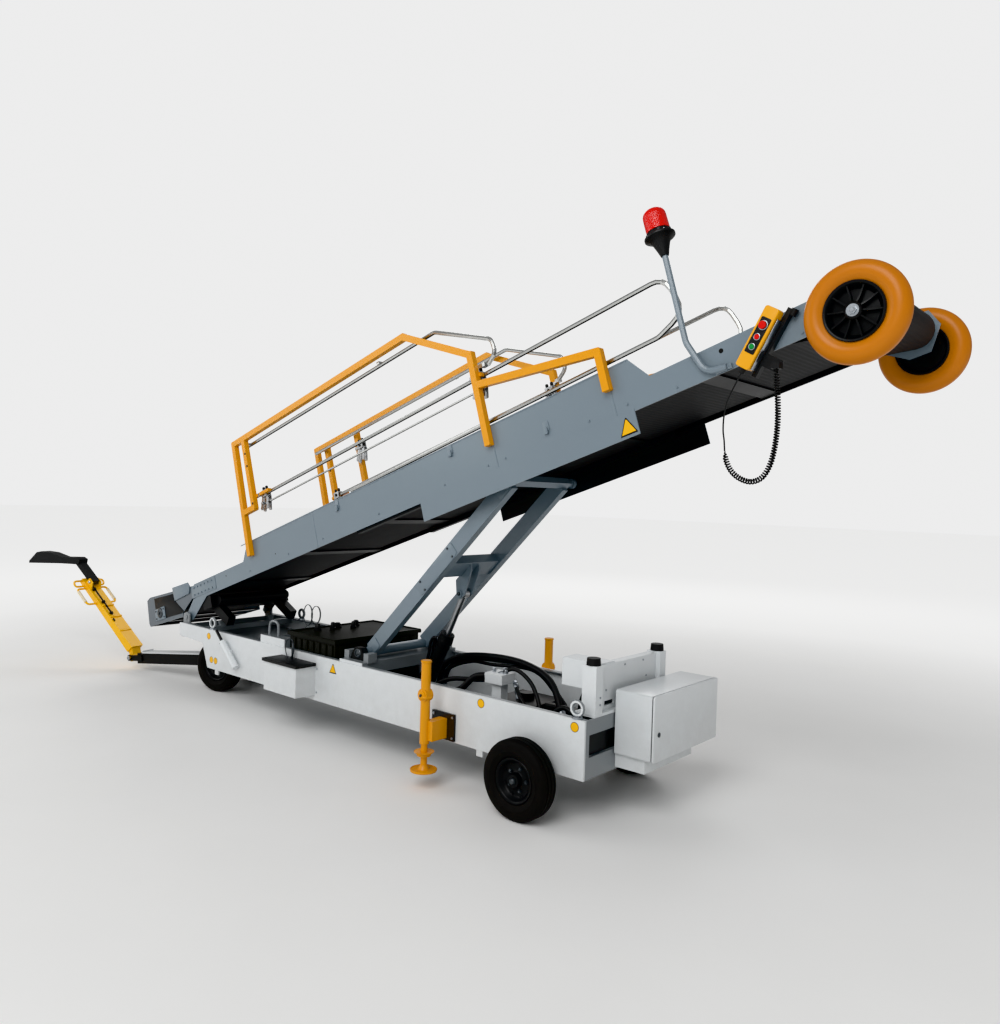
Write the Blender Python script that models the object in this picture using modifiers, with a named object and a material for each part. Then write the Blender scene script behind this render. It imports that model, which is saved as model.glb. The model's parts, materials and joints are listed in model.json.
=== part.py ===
"""Towable baggage belt loader: chassis, steered bogie, tow bar, lifted boom, belt and handrails.

Metres, +Z up, +X towards the aircraft end. The machine stands on z = 0, parked with its boom raised.
Lengths along the machine are measured from the fixed axle (x = 0), and the empty "loader" shifts
everything so that the footprint's box is centred on the origin. The boom is modelled level in its own
frame (x along the boom, z square to it) under an empty on its pivot, which tilts it.
"""
import math

import bmesh
import bpy
from mathutils import Matrix, Vector

# ---- driving dimensions -------------------------------------------------------------------------
ORIGIN_X, ORIGIN_Y = 2.1258, 0.0480
FIT = 0.0003                         # gap between faces that touch
RUN = 0.001                          # running gap round a shaft

# chassis
SIDE_Y = 0.427                       # outer face of the side plates
SIDE_T = 0.012
DECK_Z, KEEL_Z = 0.545, 0.250        # top and bottom of the side plates
HEAD_X, TAIL_X = 0.327, -3.62        # ends of the chassis
ARCH_X, NOTCH_X = -3.19, -3.27       # cut-out over the steered wheels
ARCH_Z = 0.435
WELL_X = -3.02                       # where the floor starts, clear of the steered wheels

# wheels
WHEEL_R, WHEEL_W = 0.206, 0.120
TRACK_FIXED = 1.040
TRACK_STEER = 0.414
BOGIE_X = -3.444
STEER_DEG = 15.0

# boom
PIVOT_X, PIVOT_Z = -3.60, 0.585
BOOM_DEG = 18.3
BOOM_Y = 0.356                       # outer face of the side panels
PANEL_T = 0.005
LOW_B, TOP_B, MID_B = 0.105, 0.360, 0.236
BELT_W, BELT_T = 0.600, 0.006
BELT_TOP = 0.222
RETURN_Z = 0.121                     # underside of the belt's return run
SNUBS = (0.25, 5.12)                 # where the return run is pressed up
TAIL_ROLL_X, HEAD_ROLL_X, ROLL_Z = -0.464, 5.470, 0.136
BELT_STEPS = 12                      # flats of the belt round half a roller
ROLL_R = (BELT_TOP - BELT_T - ROLL_Z) * math.cos(math.pi / BELT_STEPS / 1.8) - FIT

# bumper wheels
BUMPER_X, BUMPER_Z = 5.448, 0.077
BUMPER_Y = 0.476
BUMPER_R, BUMPER_W = 0.200, 0.090

# lift
ARM_X, ARM_Z = -1.480, 0.605         # pivot of the arms
ARM_LEN, ARM_DEG = 1.590, 44.3
ARM_Y = 0.235
ARM_BOX = (0.095, 0.050)             # depth and width of an arm
EYE_ALONG, EYE_BELOW = 0.701, 0.105  # rod eye, along the arm and below its centre line
BASE_X, BASE_Z = -1.260, 0.300       # pivot of the cylinder's barrel

# handrails
RAIL_Y = 0.376
RAIL = 0.040
TUBE_Y = 0.326
TUBE_R = 0.0125

WHITE = (0.62, 0.65, 0.67)
GREY = (0.19, 0.23, 0.26)
YELLOW = (0.80, 0.38, 0.02)
BLACK = (0.02, 0.02, 0.02)
STEEL = (0.55, 0.55, 0.54)
ORANGE = (0.75, 0.20, 0.01)
RED = (0.65, 0.01, 0.01)


# ---- tools --------------------------------------------------------------------------------------
def collection(name):
    found = bpy.data.collections.get(name) or bpy.data.collections.new(name)
    if name not in bpy.context.scene.collection.children:
        bpy.context.scene.collection.children.link(found)
    return found


def clear():
    for obj in list(bpy.data.objects):
        bpy.data.objects.remove(obj, do_unlink=True)


def paint(obj, colour, rough=0.5, metal=0.0):
    name = "paint_%02d_%02d_%02d" % tuple(int(99 * part) for part in colour)
    mat = bpy.data.materials.get(name) or bpy.data.materials.new(name)
    mat.use_nodes = True
    shader = mat.node_tree.nodes["Principled BSDF"]
    shader.inputs["Base Color"].default_value = (*colour, 1)
    shader.inputs["Roughness"].default_value = rough
    shader.inputs["Metallic"].default_value = metal
    obj.data.materials.clear()
    obj.data.materials.append(mat)


def add_object(name, mesh, at=(0, 0, 0), turn=(0, 0, 0)):
    obj = bpy.data.objects.new(name, mesh)
    obj.location = at
    obj.rotation_euler = turn
    PARTS.objects.link(obj)
    return obj


def box(size, at, turn=(0, 0, 0)):
    """A box of full size, centred at a point."""
    mesh = bpy.data.meshes.new("box")
    shape = bmesh.new()
    bmesh.ops.create_cube(shape, size=1.0)
    bmesh.ops.scale(shape, vec=size, verts=shape.verts)
    shape.to_mesh(mesh)
    shape.free()
    return add_object("box", mesh, at, turn)


def span(x, y, z):
    """A box from its low and high limits along each axis."""
    size = tuple(pair[1] - pair[0] for pair in (x, y, z))
    centre = tuple((pair[1] + pair[0]) / 2 for pair in (x, y, z))
    return box(size, centre)


def bar(start, end, depth, width):
    """A square section between two points (x, z) of the plane y = 0, with its own depth and width."""
    length = math.dist(start, end)
    angle = math.atan2(end[1] - start[1], end[0] - start[0])
    middle = ((start[0] + end[0]) / 2, 0, (start[1] + end[1]) / 2)
    return box((length, width, depth), middle, (0, -angle, 0))


def rod(radius, length, at, axis="Y", sides=20, taper=None):
    """A round bar or a cone, centred at a point, along an axis."""
    mesh = bpy.data.meshes.new("rod")
    shape = bmesh.new()
    top = radius if taper is None else taper
    bmesh.ops.create_cone(shape, cap_ends=True, segments=sides, radius1=radius, radius2=top, depth=length)
    shape.to_mesh(mesh)
    shape.free()
    mesh.shade_smooth()
    mesh.set_sharp_from_angle(angle=math.radians(40))
    turn = {"X": (0, math.pi / 2, 0), "Y": (-math.pi / 2, 0, 0), "Z": (0, 0, 0)}[axis]
    return add_object("rod", mesh, at, turn)


def baked(obj):
    """Turn an object with modifiers, or a curve, into a plain mesh in the same place."""
    bpy.context.view_layer.update()
    graph = bpy.context.evaluated_depsgraph_get()
    mesh = bpy.data.meshes.new_from_object(obj.evaluated_get(graph))
    shape = bmesh.new()
    shape.from_mesh(mesh)
    bmesh.ops.remove_doubles(shape, verts=shape.verts, dist=0.00001)
    shape.to_mesh(mesh)
    shape.free()
    result = bpy.data.objects.new("baked", mesh)
    result.matrix_world = obj.matrix_world
    PARTS.objects.link(result)
    bpy.data.objects.remove(obj, do_unlink=True)
    return result


def plate(outline, thickness, y):
    """A flat outline of (x, z) points, extruded square to it and centred on y."""
    curve = bpy.data.curves.new("outline", "CURVE")
    curve.dimensions = "2D"
    curve.fill_mode = "BOTH"
    curve.extrude = thickness / 2
    line = curve.splines.new("POLY")
    line.points.add(len(outline) - 1)
    for point, (x, z) in zip(line.points, outline):
        point.co = (x, z, 0, 1)
    line.use_cyclic_u = True
    return baked(add_object("plate", curve, (0, y, 0), (math.pi / 2, 0, 0)))


def rounded(points, radius, steps=4):
    """Points of a line whose inner corners are arcs of about the given radius."""
    points = [Vector(point) for point in points]
    line = [points[0]]
    for before, corner, after in zip(points, points[1:], points[2:]):
        into = (before - corner).normalized()
        out = (after - corner).normalized()
        half = into.angle(out) / 2
        back = min(radius / math.tan(half), (before - corner).length * 0.49, (after - corner).length * 0.49)
        first, last = corner + into * back, corner + out * back
        for step in range(steps + 1):
            part = step / steps
            line.append(first * (1 - part) ** 2 + corner * 2 * part * (1 - part) + last * part ** 2)
    return line + [points[-1]]


def tube(points, radius, bend=0.0, sides=2):
    """A round tube through points (x, y, z)."""
    line_points = rounded(points, bend) if bend else [Vector(point) for point in points]
    curve = bpy.data.curves.new("tube", "CURVE")
    curve.dimensions = "3D"
    curve.bevel_depth = radius
    curve.bevel_resolution = sides
    curve.use_fill_caps = True
    line = curve.splines.new("POLY")
    line.points.add(len(line_points) - 1)
    for point, place in zip(line.points, line_points):
        point.co = (*place, 1)
    return baked(add_object("tube", curve))


def turned(profile, at, closed=False, steps=28, turn=(math.pi / 2, 0, 0)):
    """A profile of (radius, height) turned about its height, which lies along Y unless turned."""
    mesh = bpy.data.meshes.new("profile")
    edges = [(index, index + 1) for index in range(len(profile) - 1)]
    if closed:
        edges.append((len(profile) - 1, 0))
    mesh.from_pydata([(radius, 0, height) for radius, height in profile], edges, [])
    obj = add_object("turned", mesh, at, turn)
    screw = obj.modifiers.new("Screw", "SCREW")
    screw.steps = screw.render_steps = steps
    screw.use_merge_vertices = True
    screw.merge_threshold = 0.0001
    screw.use_smooth_shade = True
    return obj


def boolean(obj, others, operation):
    for other in others:
        step = obj.modifiers.new("Boolean", "BOOLEAN")
        step.operation = operation
        step.solver = "EXACT"
        step.object = other
    result = baked(obj)
    for other in others:
        bpy.data.objects.remove(other, do_unlink=True)
    return result


def fuse(pieces):
    return boolean(pieces[0], pieces[1:], "UNION")


def carve(obj, cutters):
    return boolean(obj, cutters, "DIFFERENCE")


def both_sides(make):
    """Pieces made by a function of the side, -1 and +1."""
    made = []
    for side in (-1, 1):
        made += make(side)
    return made


def node(name, obj, parent, colour, rough=0.5, metal=0.0):
    """Name a finished piece, paint it and hang it on its parent without moving it from there."""
    obj.name = name
    obj.data.name = name
    paint(obj, colour, rough, metal)
    obj.parent = parent
    return obj


def empty(name, at, parent=None, turn=(0, 0, 0)):
    obj = bpy.data.objects.new(name, None)
    obj.location = at
    obj.rotation_euler = turn
    obj.parent = parent
    PARTS.objects.link(obj)
    return obj


# ---- chassis ------------------------------------------------------------------------------------
def lifting_eye(x, side):
    y = side * (SIDE_Y - 0.022)
    ring = turned([(0.034 + 0.011 * math.cos(a), 0.011 * math.sin(a))
                   for a in [math.radians(60 * -k) for k in range(6)]], (x, y, DECK_Z + 0.050), True, 14)
    return [baked(ring), rod(0.015, 0.024, (x, y, DECK_Z + 0.006), "Z", 12)]


def chassis_side(side):
    inner = side * (SIDE_Y - SIDE_T)
    outline = [(TAIL_X, DECK_Z), (TAIL_X, ARCH_Z + 0.008), (NOTCH_X, ARCH_Z - 0.006), (ARCH_X, KEEL_Z),
               (HEAD_X, KEEL_Z), (HEAD_X, DECK_Z)]
    web = plate(outline, SIDE_T, side * (SIDE_Y - SIDE_T / 2))
    lip = tuple(sorted((inner + side * 0.004, inner - side * 0.034)))
    top = span((TAIL_X + 0.002, HEAD_X - 0.002), lip, (DECK_Z - 0.008, DECK_Z - 0.001))
    foot = span((WELL_X, HEAD_X - 0.002), lip, (KEEL_Z + 0.001, KEEL_Z + 0.008))
    lugs = [box((0.045, 0.010, 0.050), (x, side * (SIDE_Y - 0.008), KEEL_Z - 0.010)) for x in (-3.06, -0.36)]
    pivot_lug = plate([(PIVOT_X - 0.05, DECK_Z - 0.06), (PIVOT_X + 0.05, DECK_Z - 0.06),
                       (PIVOT_X + 0.045, PIVOT_Z + 0.025), (PIVOT_X, PIVOT_Z + 0.042),
                       (PIVOT_X - 0.045, PIVOT_Z + 0.025)], 0.012, side * 0.378)
    seat = box((0.12, 0.060, 0.012), (PIVOT_X + 0.03, side * 0.395, DECK_Z - 0.008))
    pin = rod(0.018, 0.060, (PIVOT_X, side * 0.360, PIVOT_Z))
    return [web, top, foot, pivot_lug, seat, pin] + lugs + lifting_eye(-3.157, side) + lifting_eye(0.265, side)


def make_chassis(loader):
    inner = SIDE_Y - SIDE_T + 0.004
    across = (-inner, inner)
    pieces = both_sides(chassis_side)
    pieces.append(span((HEAD_X - SIDE_T, HEAD_X - 0.0005), across, (KEEL_Z + 0.0005, DECK_Z - 0.0005)))
    pieces.append(span((TAIL_X + 0.0005, TAIL_X + SIDE_T), across, (ARCH_Z + 0.010, DECK_Z - 0.018)))
    pieces.append(span((TAIL_X + 0.0010, WELL_X - 0.06), across, (ARCH_Z, ARCH_Z + SIDE_T)))
    pieces.append(span((WELL_X - 0.072, WELL_X - 0.06), across, (KEEL_Z + 0.002, ARCH_Z + 0.008)))
    pieces.append(span((WELL_X - 0.062, HEAD_X - 0.004), across, (KEEL_Z + 0.004, KEEL_Z + 0.010)))
    for x in (-2.45, -0.85, -0.10):
        pieces.append(span((x - 0.03, x + 0.03), across, (KEEL_Z + 0.006, KEEL_Z + 0.070)))
    # the beam that carries the arms' bearings, and the bearings' seats on it
    pieces.append(span((ARM_X - 0.11, ARM_X + 0.11), across, (ARM_Z - 0.115, ARM_Z - 0.042)))
    for side in (-1, 1):
        for x in (-0.095, 0.095):
            pieces.append(box((0.045, 0.070, 0.060), (ARM_X + x, side * 0.340, ARM_Z - 0.020)))
        # ears of the cylinder's base pin
        pieces.append(box((0.070, 0.010, 0.110), (BASE_X, side * 0.053, BASE_Z)))
    pieces.append(span((BASE_X - 0.12, BASE_X + 0.12), (-0.14, 0.14), (KEEL_Z + 0.008, KEEL_Z + 0.014)))
    pieces.append(rod(0.014, 0.114, (BASE_X, 0, BASE_Z), sides=16))
    # turntable's upper ring
    pieces.append(rod(0.150, 0.020, (BOGIE_X, 0, ARCH_Z - 0.008), "Z", 32))
    # white bracket with a lifting hoop beside the well
    pieces.append(span((-2.49, -2.20), (-0.418, -0.335), (DECK_Z - 0.050, 0.598)))
    pieces.append(tube([(-2.445, -0.375, 0.590), (-2.445, -0.375, 0.700), (-2.335, -0.375, 0.700),
                        (-2.335, -0.375, 0.590)], 0.009, 0.054))
    # support brackets at the tail
    pieces.append(span((-3.35, -3.31), across, (DECK_Z - 0.045, DECK_Z - 0.006)))
    for side in (-1, 1):
        pieces.append(box((0.060, 0.05, 0.03), (-3.335, side * 0.22, DECK_Z), (0, math.radians(55), 0)))
    frame = fuse(pieces)
    pockets = [box((0.05, 0.28, 0.112), (HEAD_X - 0.006, side * 0.245, 0.413)) for side in (-1, 1)]
    node("chassis_frame", carve(frame, pockets), loader, WHITE, 0.45)

    for side, name in ((-1, "right"), (1, "left")):
        block = plate([(ARM_X - 0.068, ARM_Z - 0.042 + FIT), (ARM_X + 0.068, ARM_Z - 0.042 + FIT),
                       (ARM_X + 0.060, ARM_Z - 0.010), (ARM_X + 0.030, ARM_Z + 0.036),
                       (ARM_X - 0.030, ARM_Z + 0.036), (ARM_X - 0.060, ARM_Z - 0.010)], 0.046, side * 0.340)
        block = carve(block, [rod(0.016 + RUN, 0.08, (ARM_X, side * 0.340, ARM_Z), sides=16)])
        node("arm_bearing_" + name, block, loader, BLACK, 0.4)


def make_fixed_axle(loader):
    beam = box((0.050, 0.860, 0.044), (0, 0, WHEEL_R))
    stub = rod(0.014, TRACK_FIXED + 0.070, (0, 0, WHEEL_R), sides=16)
    pads = [box((0.16, 0.06, 0.026), (0, side * 0.395, KEEL_Z - 0.013 - FIT)) for side in (-1, 1)]
    node("fixed_axle", fuse([beam, stub] + pads), loader, BLACK, 0.5)


def make_wheel(name, parent, side):
    """Tyre and rim about the parent's Y axis, with the rim's open face on the outer side."""
    half = WHEEL_W / 2
    tyre = [(WHEEL_R, half * 0.55), (WHEEL_R, -half * 0.55), (0.190, -half * 0.93), (0.165, -half),
            (0.118, -half * 0.80), (0.118, half * 0.80), (0.165, half), (0.190, half * 0.93)]
    node(name + "_tyre", turned(tyre, (0, 0, 0), True), parent, BLACK, 0.85)
    rim = [(0.0147, 0.050), (0.034, 0.050), (0.036, 0.016), (0.094, 0.010), (0.106, 0.046), (0.1175, 0.047),
           (0.1175, -0.047), (0.0147, -0.040)]
    turn = (math.pi / 2 * -side, 0, 0)
    node(name + "_rim", turned(rim, (0, 0, 0), True, 28, turn), parent, BLACK, 0.35)


def make_steering(loader):
    bogie = empty("steering_pivot", (BOGIE_X, 0, 0), loader, (0, 0, math.radians(STEER_DEG)))
    ring_top = ARCH_Z - 0.018 - RUN
    pieces = [rod(0.045, ring_top - WHEEL_R, (0, 0, (ring_top + WHEEL_R) / 2), "Z", 20),
              rod(0.140, 0.016, (0, 0, ring_top - 0.008), "Z", 32),
              box((0.055, TRACK_STEER - WHEEL_W - 0.006, 0.055), (0, 0, WHEEL_R)),
              rod(0.014, TRACK_STEER + 0.070, (0, 0, WHEEL_R), sides=16)]
    for side in (-1, 1):
        pieces.append(plate([(-0.010, 0.285), (-0.010, 0.205), (-0.250, 0.160), (-0.330, 0.160), (-0.330, 0.215),
                             (-0.220, 0.285)], 0.012, side * 0.068))
    pieces.append(box((0.012, 0.148, 0.080), (-0.036, 0, 0.245)))
    holes = [rod(0.012 + RUN, 0.2, (LINK_X, 0, LINK_Z), sides=12)]
    node("steer_axle", carve(fuse(pieces), holes), bogie, BLACK, 0.5)
    return bogie


def make_wheels(loader, bogie):
    for parent, x, track, kind in ((loader, 0, TRACK_FIXED, "fixed"), (bogie, 0, TRACK_STEER, "steer")):
        for side, name in ((-1, "right"), (1, "left")):
            hub = empty("%s_hub_%s" % (kind, name), (x, side * track / 2, WHEEL_R), parent)
            make_wheel("%s_wheel_%s" % (kind, name), hub, side)


# ---- tow bar ------------------------------------------------------------------------------------
LINK_X, LINK_Z = -0.300, 0.190         # hinge of the link, in the bogie's frame
LINK_LEN, LINK_DEG = 0.914, 5.4        # the link droops by this angle
BAR_LEN, BAR_DEG = 0.920, 41.0         # the yellow bar rises by this angle
PIN_R = 0.012                          # pins of the link and of the bar
BAR_HALF = 0.060                       # half of the bar's width
HEAD_HINGE = (-0.833, 0.112)           # pin of the head, along the bar and above its pin
HANDLE_OUT = 0.150                     # how far the handles stand out to each side
HANDLES = ((-0.630, -0.820, 0.0), (-0.850, -0.900, 0.020))   # near end, far end and rise of each


def make_tow_bar(bogie):
    link = empty("link_hinge", (LINK_X, 0, LINK_Z), bogie, (0, -math.radians(LINK_DEG), 0))
    pieces = [span((-LINK_LEN + 0.085, -0.03), (-0.052, 0.052), (-0.050, 0.040)),
              rod(0.030, 0.100, (0, 0, 0)), span((-0.05, 0.0), (-0.048, 0.048), (-0.026, 0.026)),
              rod(PIN_R, 0.150, (0, 0, 0), sides=12)]
    for side in (-1, 1):
        pieces.append(box((0.170, 0.014, 0.050), (-LINK_LEN + 0.063, side * 0.056, -0.002)))
    holes = [rod(PIN_R + RUN, 0.2, (-LINK_LEN, 0, 0), sides=12)]
    node("drawbar_link", carve(fuse(pieces), holes), link, BLACK, 0.4)
    cover = span((-LINK_LEN + 0.150, -0.045), (-0.058, 0.058), (0.040 + FIT, 0.052))
    ribs = [span((x, x + 0.012), (-0.058, 0.058), (0.050, 0.062)) for x in (-LINK_LEN + 0.150, -0.060)]
    node("drawbar_cover", fuse([cover] + ribs), link, WHITE, 0.45)

    # the bar is a channel that narrows towards its head; it carries ears for the head and lifting handles
    elbow = empty("elbow_hinge", (-LINK_LEN, 0, 0), link, (0, math.radians(LINK_DEG + BAR_DEG), 0))
    channel = plate([(-0.056, 0.014), (-BAR_LEN, 0.027), (-BAR_LEN, 0.070), (-0.050, 0.087)], 2 * BAR_HALF, 0)
    neck = plate([(0.026, -0.020), (-0.070, 0.016), (-0.070, 0.080), (-0.010, 0.036), (0.026, 0.014)], 0.088, 0)
    pieces = [channel, neck, rod(0.036, 0.090, (0, 0, 0), sides=16), rod(PIN_R, 0.150, (0, 0, 0), sides=12)]
    for side in (-1, 1):
        pieces.append(plate([(HEAD_HINGE[0] - 0.040, 0.060), (HEAD_HINGE[0] - 0.026, HEAD_HINGE[1] + 0.020),
                             (HEAD_HINGE[0] + 0.026, HEAD_HINGE[1] + 0.020), (HEAD_HINGE[0] + 0.070, 0.060)],
                            0.010, side * 0.044))
        for near, far, rise in HANDLES:
            pieces.append(tube([(near, side * (BAR_HALF - 0.010), 0.040), (near, side * HANDLE_OUT, 0.040),
                                (far, side * HANDLE_OUT, 0.040 + rise),
                                (far, side * (BAR_HALF - 0.010), 0.040 + rise)], 0.009, 0.03))
    pieces.append(rod(0.009, 0.106, (HEAD_HINGE[0], 0, HEAD_HINGE[1]), sides=12))
    node("drawbar", fuse(pieces), elbow, YELLOW, 0.4)

    head = empty("head_hinge", (HEAD_HINGE[0], 0, HEAD_HINGE[1]), elbow, (0, -math.radians(BAR_DEG), 0))
    arm = bar((0.012, -0.010), (-0.215, 0.180), 0.046, 0.070)
    jaw = plate([(-0.165, 0.150), (-0.155, 0.196), (-0.200, 0.214), (-0.400, 0.205), (-0.560, 0.238),
                 (-0.690, 0.243), (-0.760, 0.230), (-0.868, 0.142), (-0.868, 0.122), (-0.400, 0.145)], 0.090, 0)
    holes = [rod(0.030, 0.30, (-0.740, 0, 0.150), "Z", 20), rod(0.009 + RUN, 0.10, (0, 0, 0), sides=12)]
    node("tow_head", carve(fuse([arm, jaw]), holes), head, BLACK, 0.3)


# ---- jacks, covers and cabinets -----------------------------------------------------------------
JACK_X, JACK_Y = -0.655, 0.555
JACK_R, JACK_LEG_R = 0.027, 0.0185   # sleeve and leg
JACK_TOP, JACK_KNOB_Z, JACK_FOOT_Z = 0.712, 0.520, 0.103


def make_jacks(loader):
    for side, name in ((-1, "right"), (1, "left")):
        at = (JACK_X, side * JACK_Y)
        sleeve = rod(JACK_R, JACK_TOP - KEEL_Z, (*at, (JACK_TOP + KEEL_Z) / 2), "Z", 20)
        knob = rod(0.036, 0.052, (*at, JACK_KNOB_Z), "Y", 16)
        strip = span((JACK_X + 0.004, JACK_X + 0.060), tuple(sorted((side * (SIDE_Y + 0.012), side * JACK_Y))),
                     (0.270, 0.380))
        pad = span((JACK_X - 0.06, JACK_X + 0.115), tuple(sorted((side * (SIDE_Y + FIT), side * (SIDE_Y + 0.014)))),
                   (0.258, 0.408))
        bore = rod(JACK_LEG_R + RUN * 0.8, JACK_TOP - KEEL_Z, (*at, (JACK_TOP + KEEL_Z) / 2 - 0.006), "Z", 16)
        node("jack_sleeve_" + name, carve(fuse([sleeve, knob, strip, pad]), [bore]), loader, YELLOW, 0.4)
        slide = empty("jack_slide_" + name, (*at, 0), loader)
        pieces = [rod(JACK_LEG_R, 0.560, (0, 0, 0.385), "Z", 16), rod(0.074, 0.010, (0, 0, JACK_FOOT_Z), "Z", 24),
                  rod(0.034, 0.026, (0, 0, JACK_FOOT_Z + 0.016), "Z", 16, 0.020),
                  rod(0.040, 0.014, (0, 0, 0.190), "Z", 16)]
        node("jack_leg_" + name, fuse(pieces), slide, YELLOW, 0.4)


def make_head_end(loader):
    """Cross member with the two buffer posts that the boom rests on, and the electrical cabinet."""
    foot, top = DECK_Z + FIT, 0.800
    pieces = [span((0.200, 0.326), (-0.345, 0.345), (foot, foot + 0.014)),
              span((0.288, 0.300), (-0.290, 0.290), (foot + 0.010, top - 0.008)),
              span((0.245, 0.290), (-0.290, 0.290), (top - 0.020, top - 0.0085)),
              span((0.050, 0.292), (-0.250, -0.125), (0.655, top - 0.001))]
    for side in (-1, 1):
        pieces.append(span((0.242, 0.326), tuple(sorted((side * 0.278, side * 0.340))), (foot + 0.001, top)))
    slot = span((0.25, 0.35), (-0.222, -0.134), (0.583, 0.606))
    node("buffer_beam", carve(fuse(pieces), [slot]), loader, WHITE, 0.45)
    for side, name in ((-1, "right"), (1, "left")):
        node("buffer_cap_" + name, rod(0.037, 0.036, (0.287, side * 0.309, top + FIT + 0.018), "Z", 24, 0.034),
             loader, BLACK, 0.8)

    low, high = 0.332, 0.664
    near, far = -0.168, 0.506
    back, front = HEAD_X + 0.006, 0.545
    shell = span((back, front), (near, far), (low, high))
    hollow = span((back + 0.004, front + 0.01), (near + 0.004, far - 0.004), (low + 0.004, high - 0.004))
    feet = [span((HEAD_X + FIT, back + 0.002), (y - 0.03, y + 0.03), (0.36, 0.52)) for y in (-0.10, 0.36)]
    mount = span((HEAD_X + FIT, 0.50), (near + 0.02, 0.34), (low - 0.070, low + 0.002))
    node("cabinet_body", carve(fuse([shell, mount] + feet), [hollow]), loader, WHITE, 0.4)
    hinge = empty("cabinet_hinge", (front + 0.008, far, 0), loader)
    door = span((-0.0077, 0.006), (near - far, 0), (low, high))
    lock = rod(0.012, 0.010, (0.009, near - far + 0.05, (low + high) / 2 - 0.03), "X", 12)
    knuckles = [rod(0.006, 0.04, (0.006, -0.001, z), "Z", 10) for z in (low + 0.06, high - 0.06)]
    node("cabinet_door", fuse([door, lock] + knuckles), hinge, WHITE, 0.4)


def make_covers(loader):
    battery = span((-2.20, -1.70), (-0.37, 0.37), (KEEL_Z + 0.0105, 0.640))
    lid = span((-2.215, -1.685), (-0.385, 0.385), (0.632, 0.652))
    node("battery_box", fuse([battery, lid]), loader, BLACK, 0.6)
    pack = [span((-0.62, -0.30), (-0.05, 0.25), (KEEL_Z + 0.0105, 0.43)),
            rod(0.075, 0.30, (-0.16, 0.10, 0.36), "X", 24), rod(0.045, 0.05, (-0.46, 0.10, 0.44), "Z", 16)]
    pack.append(span((-0.32, -0.02), (0.05, 0.15), (KEEL_Z + 0.0105, 0.33)))
    cut = span((-0.14, -0.06), (-0.1, 0.3), (KEEL_Z, KEEL_Z + 0.0705))
    node("hydraulic_power_pack", carve(fuse(pack), [cut]), loader, BLACK, 0.5)
    valve = fuse([span((-0.515, -0.445), (-0.16, -0.10), (KEEL_Z + 0.0105, 0.600)),
                  span((-0.545, -0.415), (-0.19, -0.07), (0.555, 0.612))])
    node("valve_block", valve, loader, WHITE, 0.4)

    side, outer = (-2.19, -1.83), -0.58
    walls = span(side, (outer, -SIDE_Y - FIT), (0.285, 0.478))
    hollow = span((side[0] + 0.004, side[1] - 0.004), (outer + 0.004, -SIDE_Y - 0.004), (0.289, 0.50))
    node("side_box", carve(walls, [hollow]), loader, WHITE, 0.45)
    hinge = empty("side_lid_hinge", (0, -SIDE_Y - 0.006, 0.498), loader)
    cover = span((side[0] - 0.012, side[1] + 0.012), (outer + SIDE_Y - 0.006, 0), (-0.0197, 0))
    node("side_box_lid", cover, hinge, BLACK, 0.5)
    lever = [tube([(-2.935, -0.455, 0.486), (-2.742, -0.455, 0.322)], 0.025),
             tube([(-3.020, -0.455, 0.558), (-2.930, -0.455, 0.482)], 0.011),
             box((0.05, 0.028, 0.03), (-2.86, -0.4414, 0.423))]
    node("hand_pump_lever", fuse(lever), loader, WHITE, 0.4)


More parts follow.
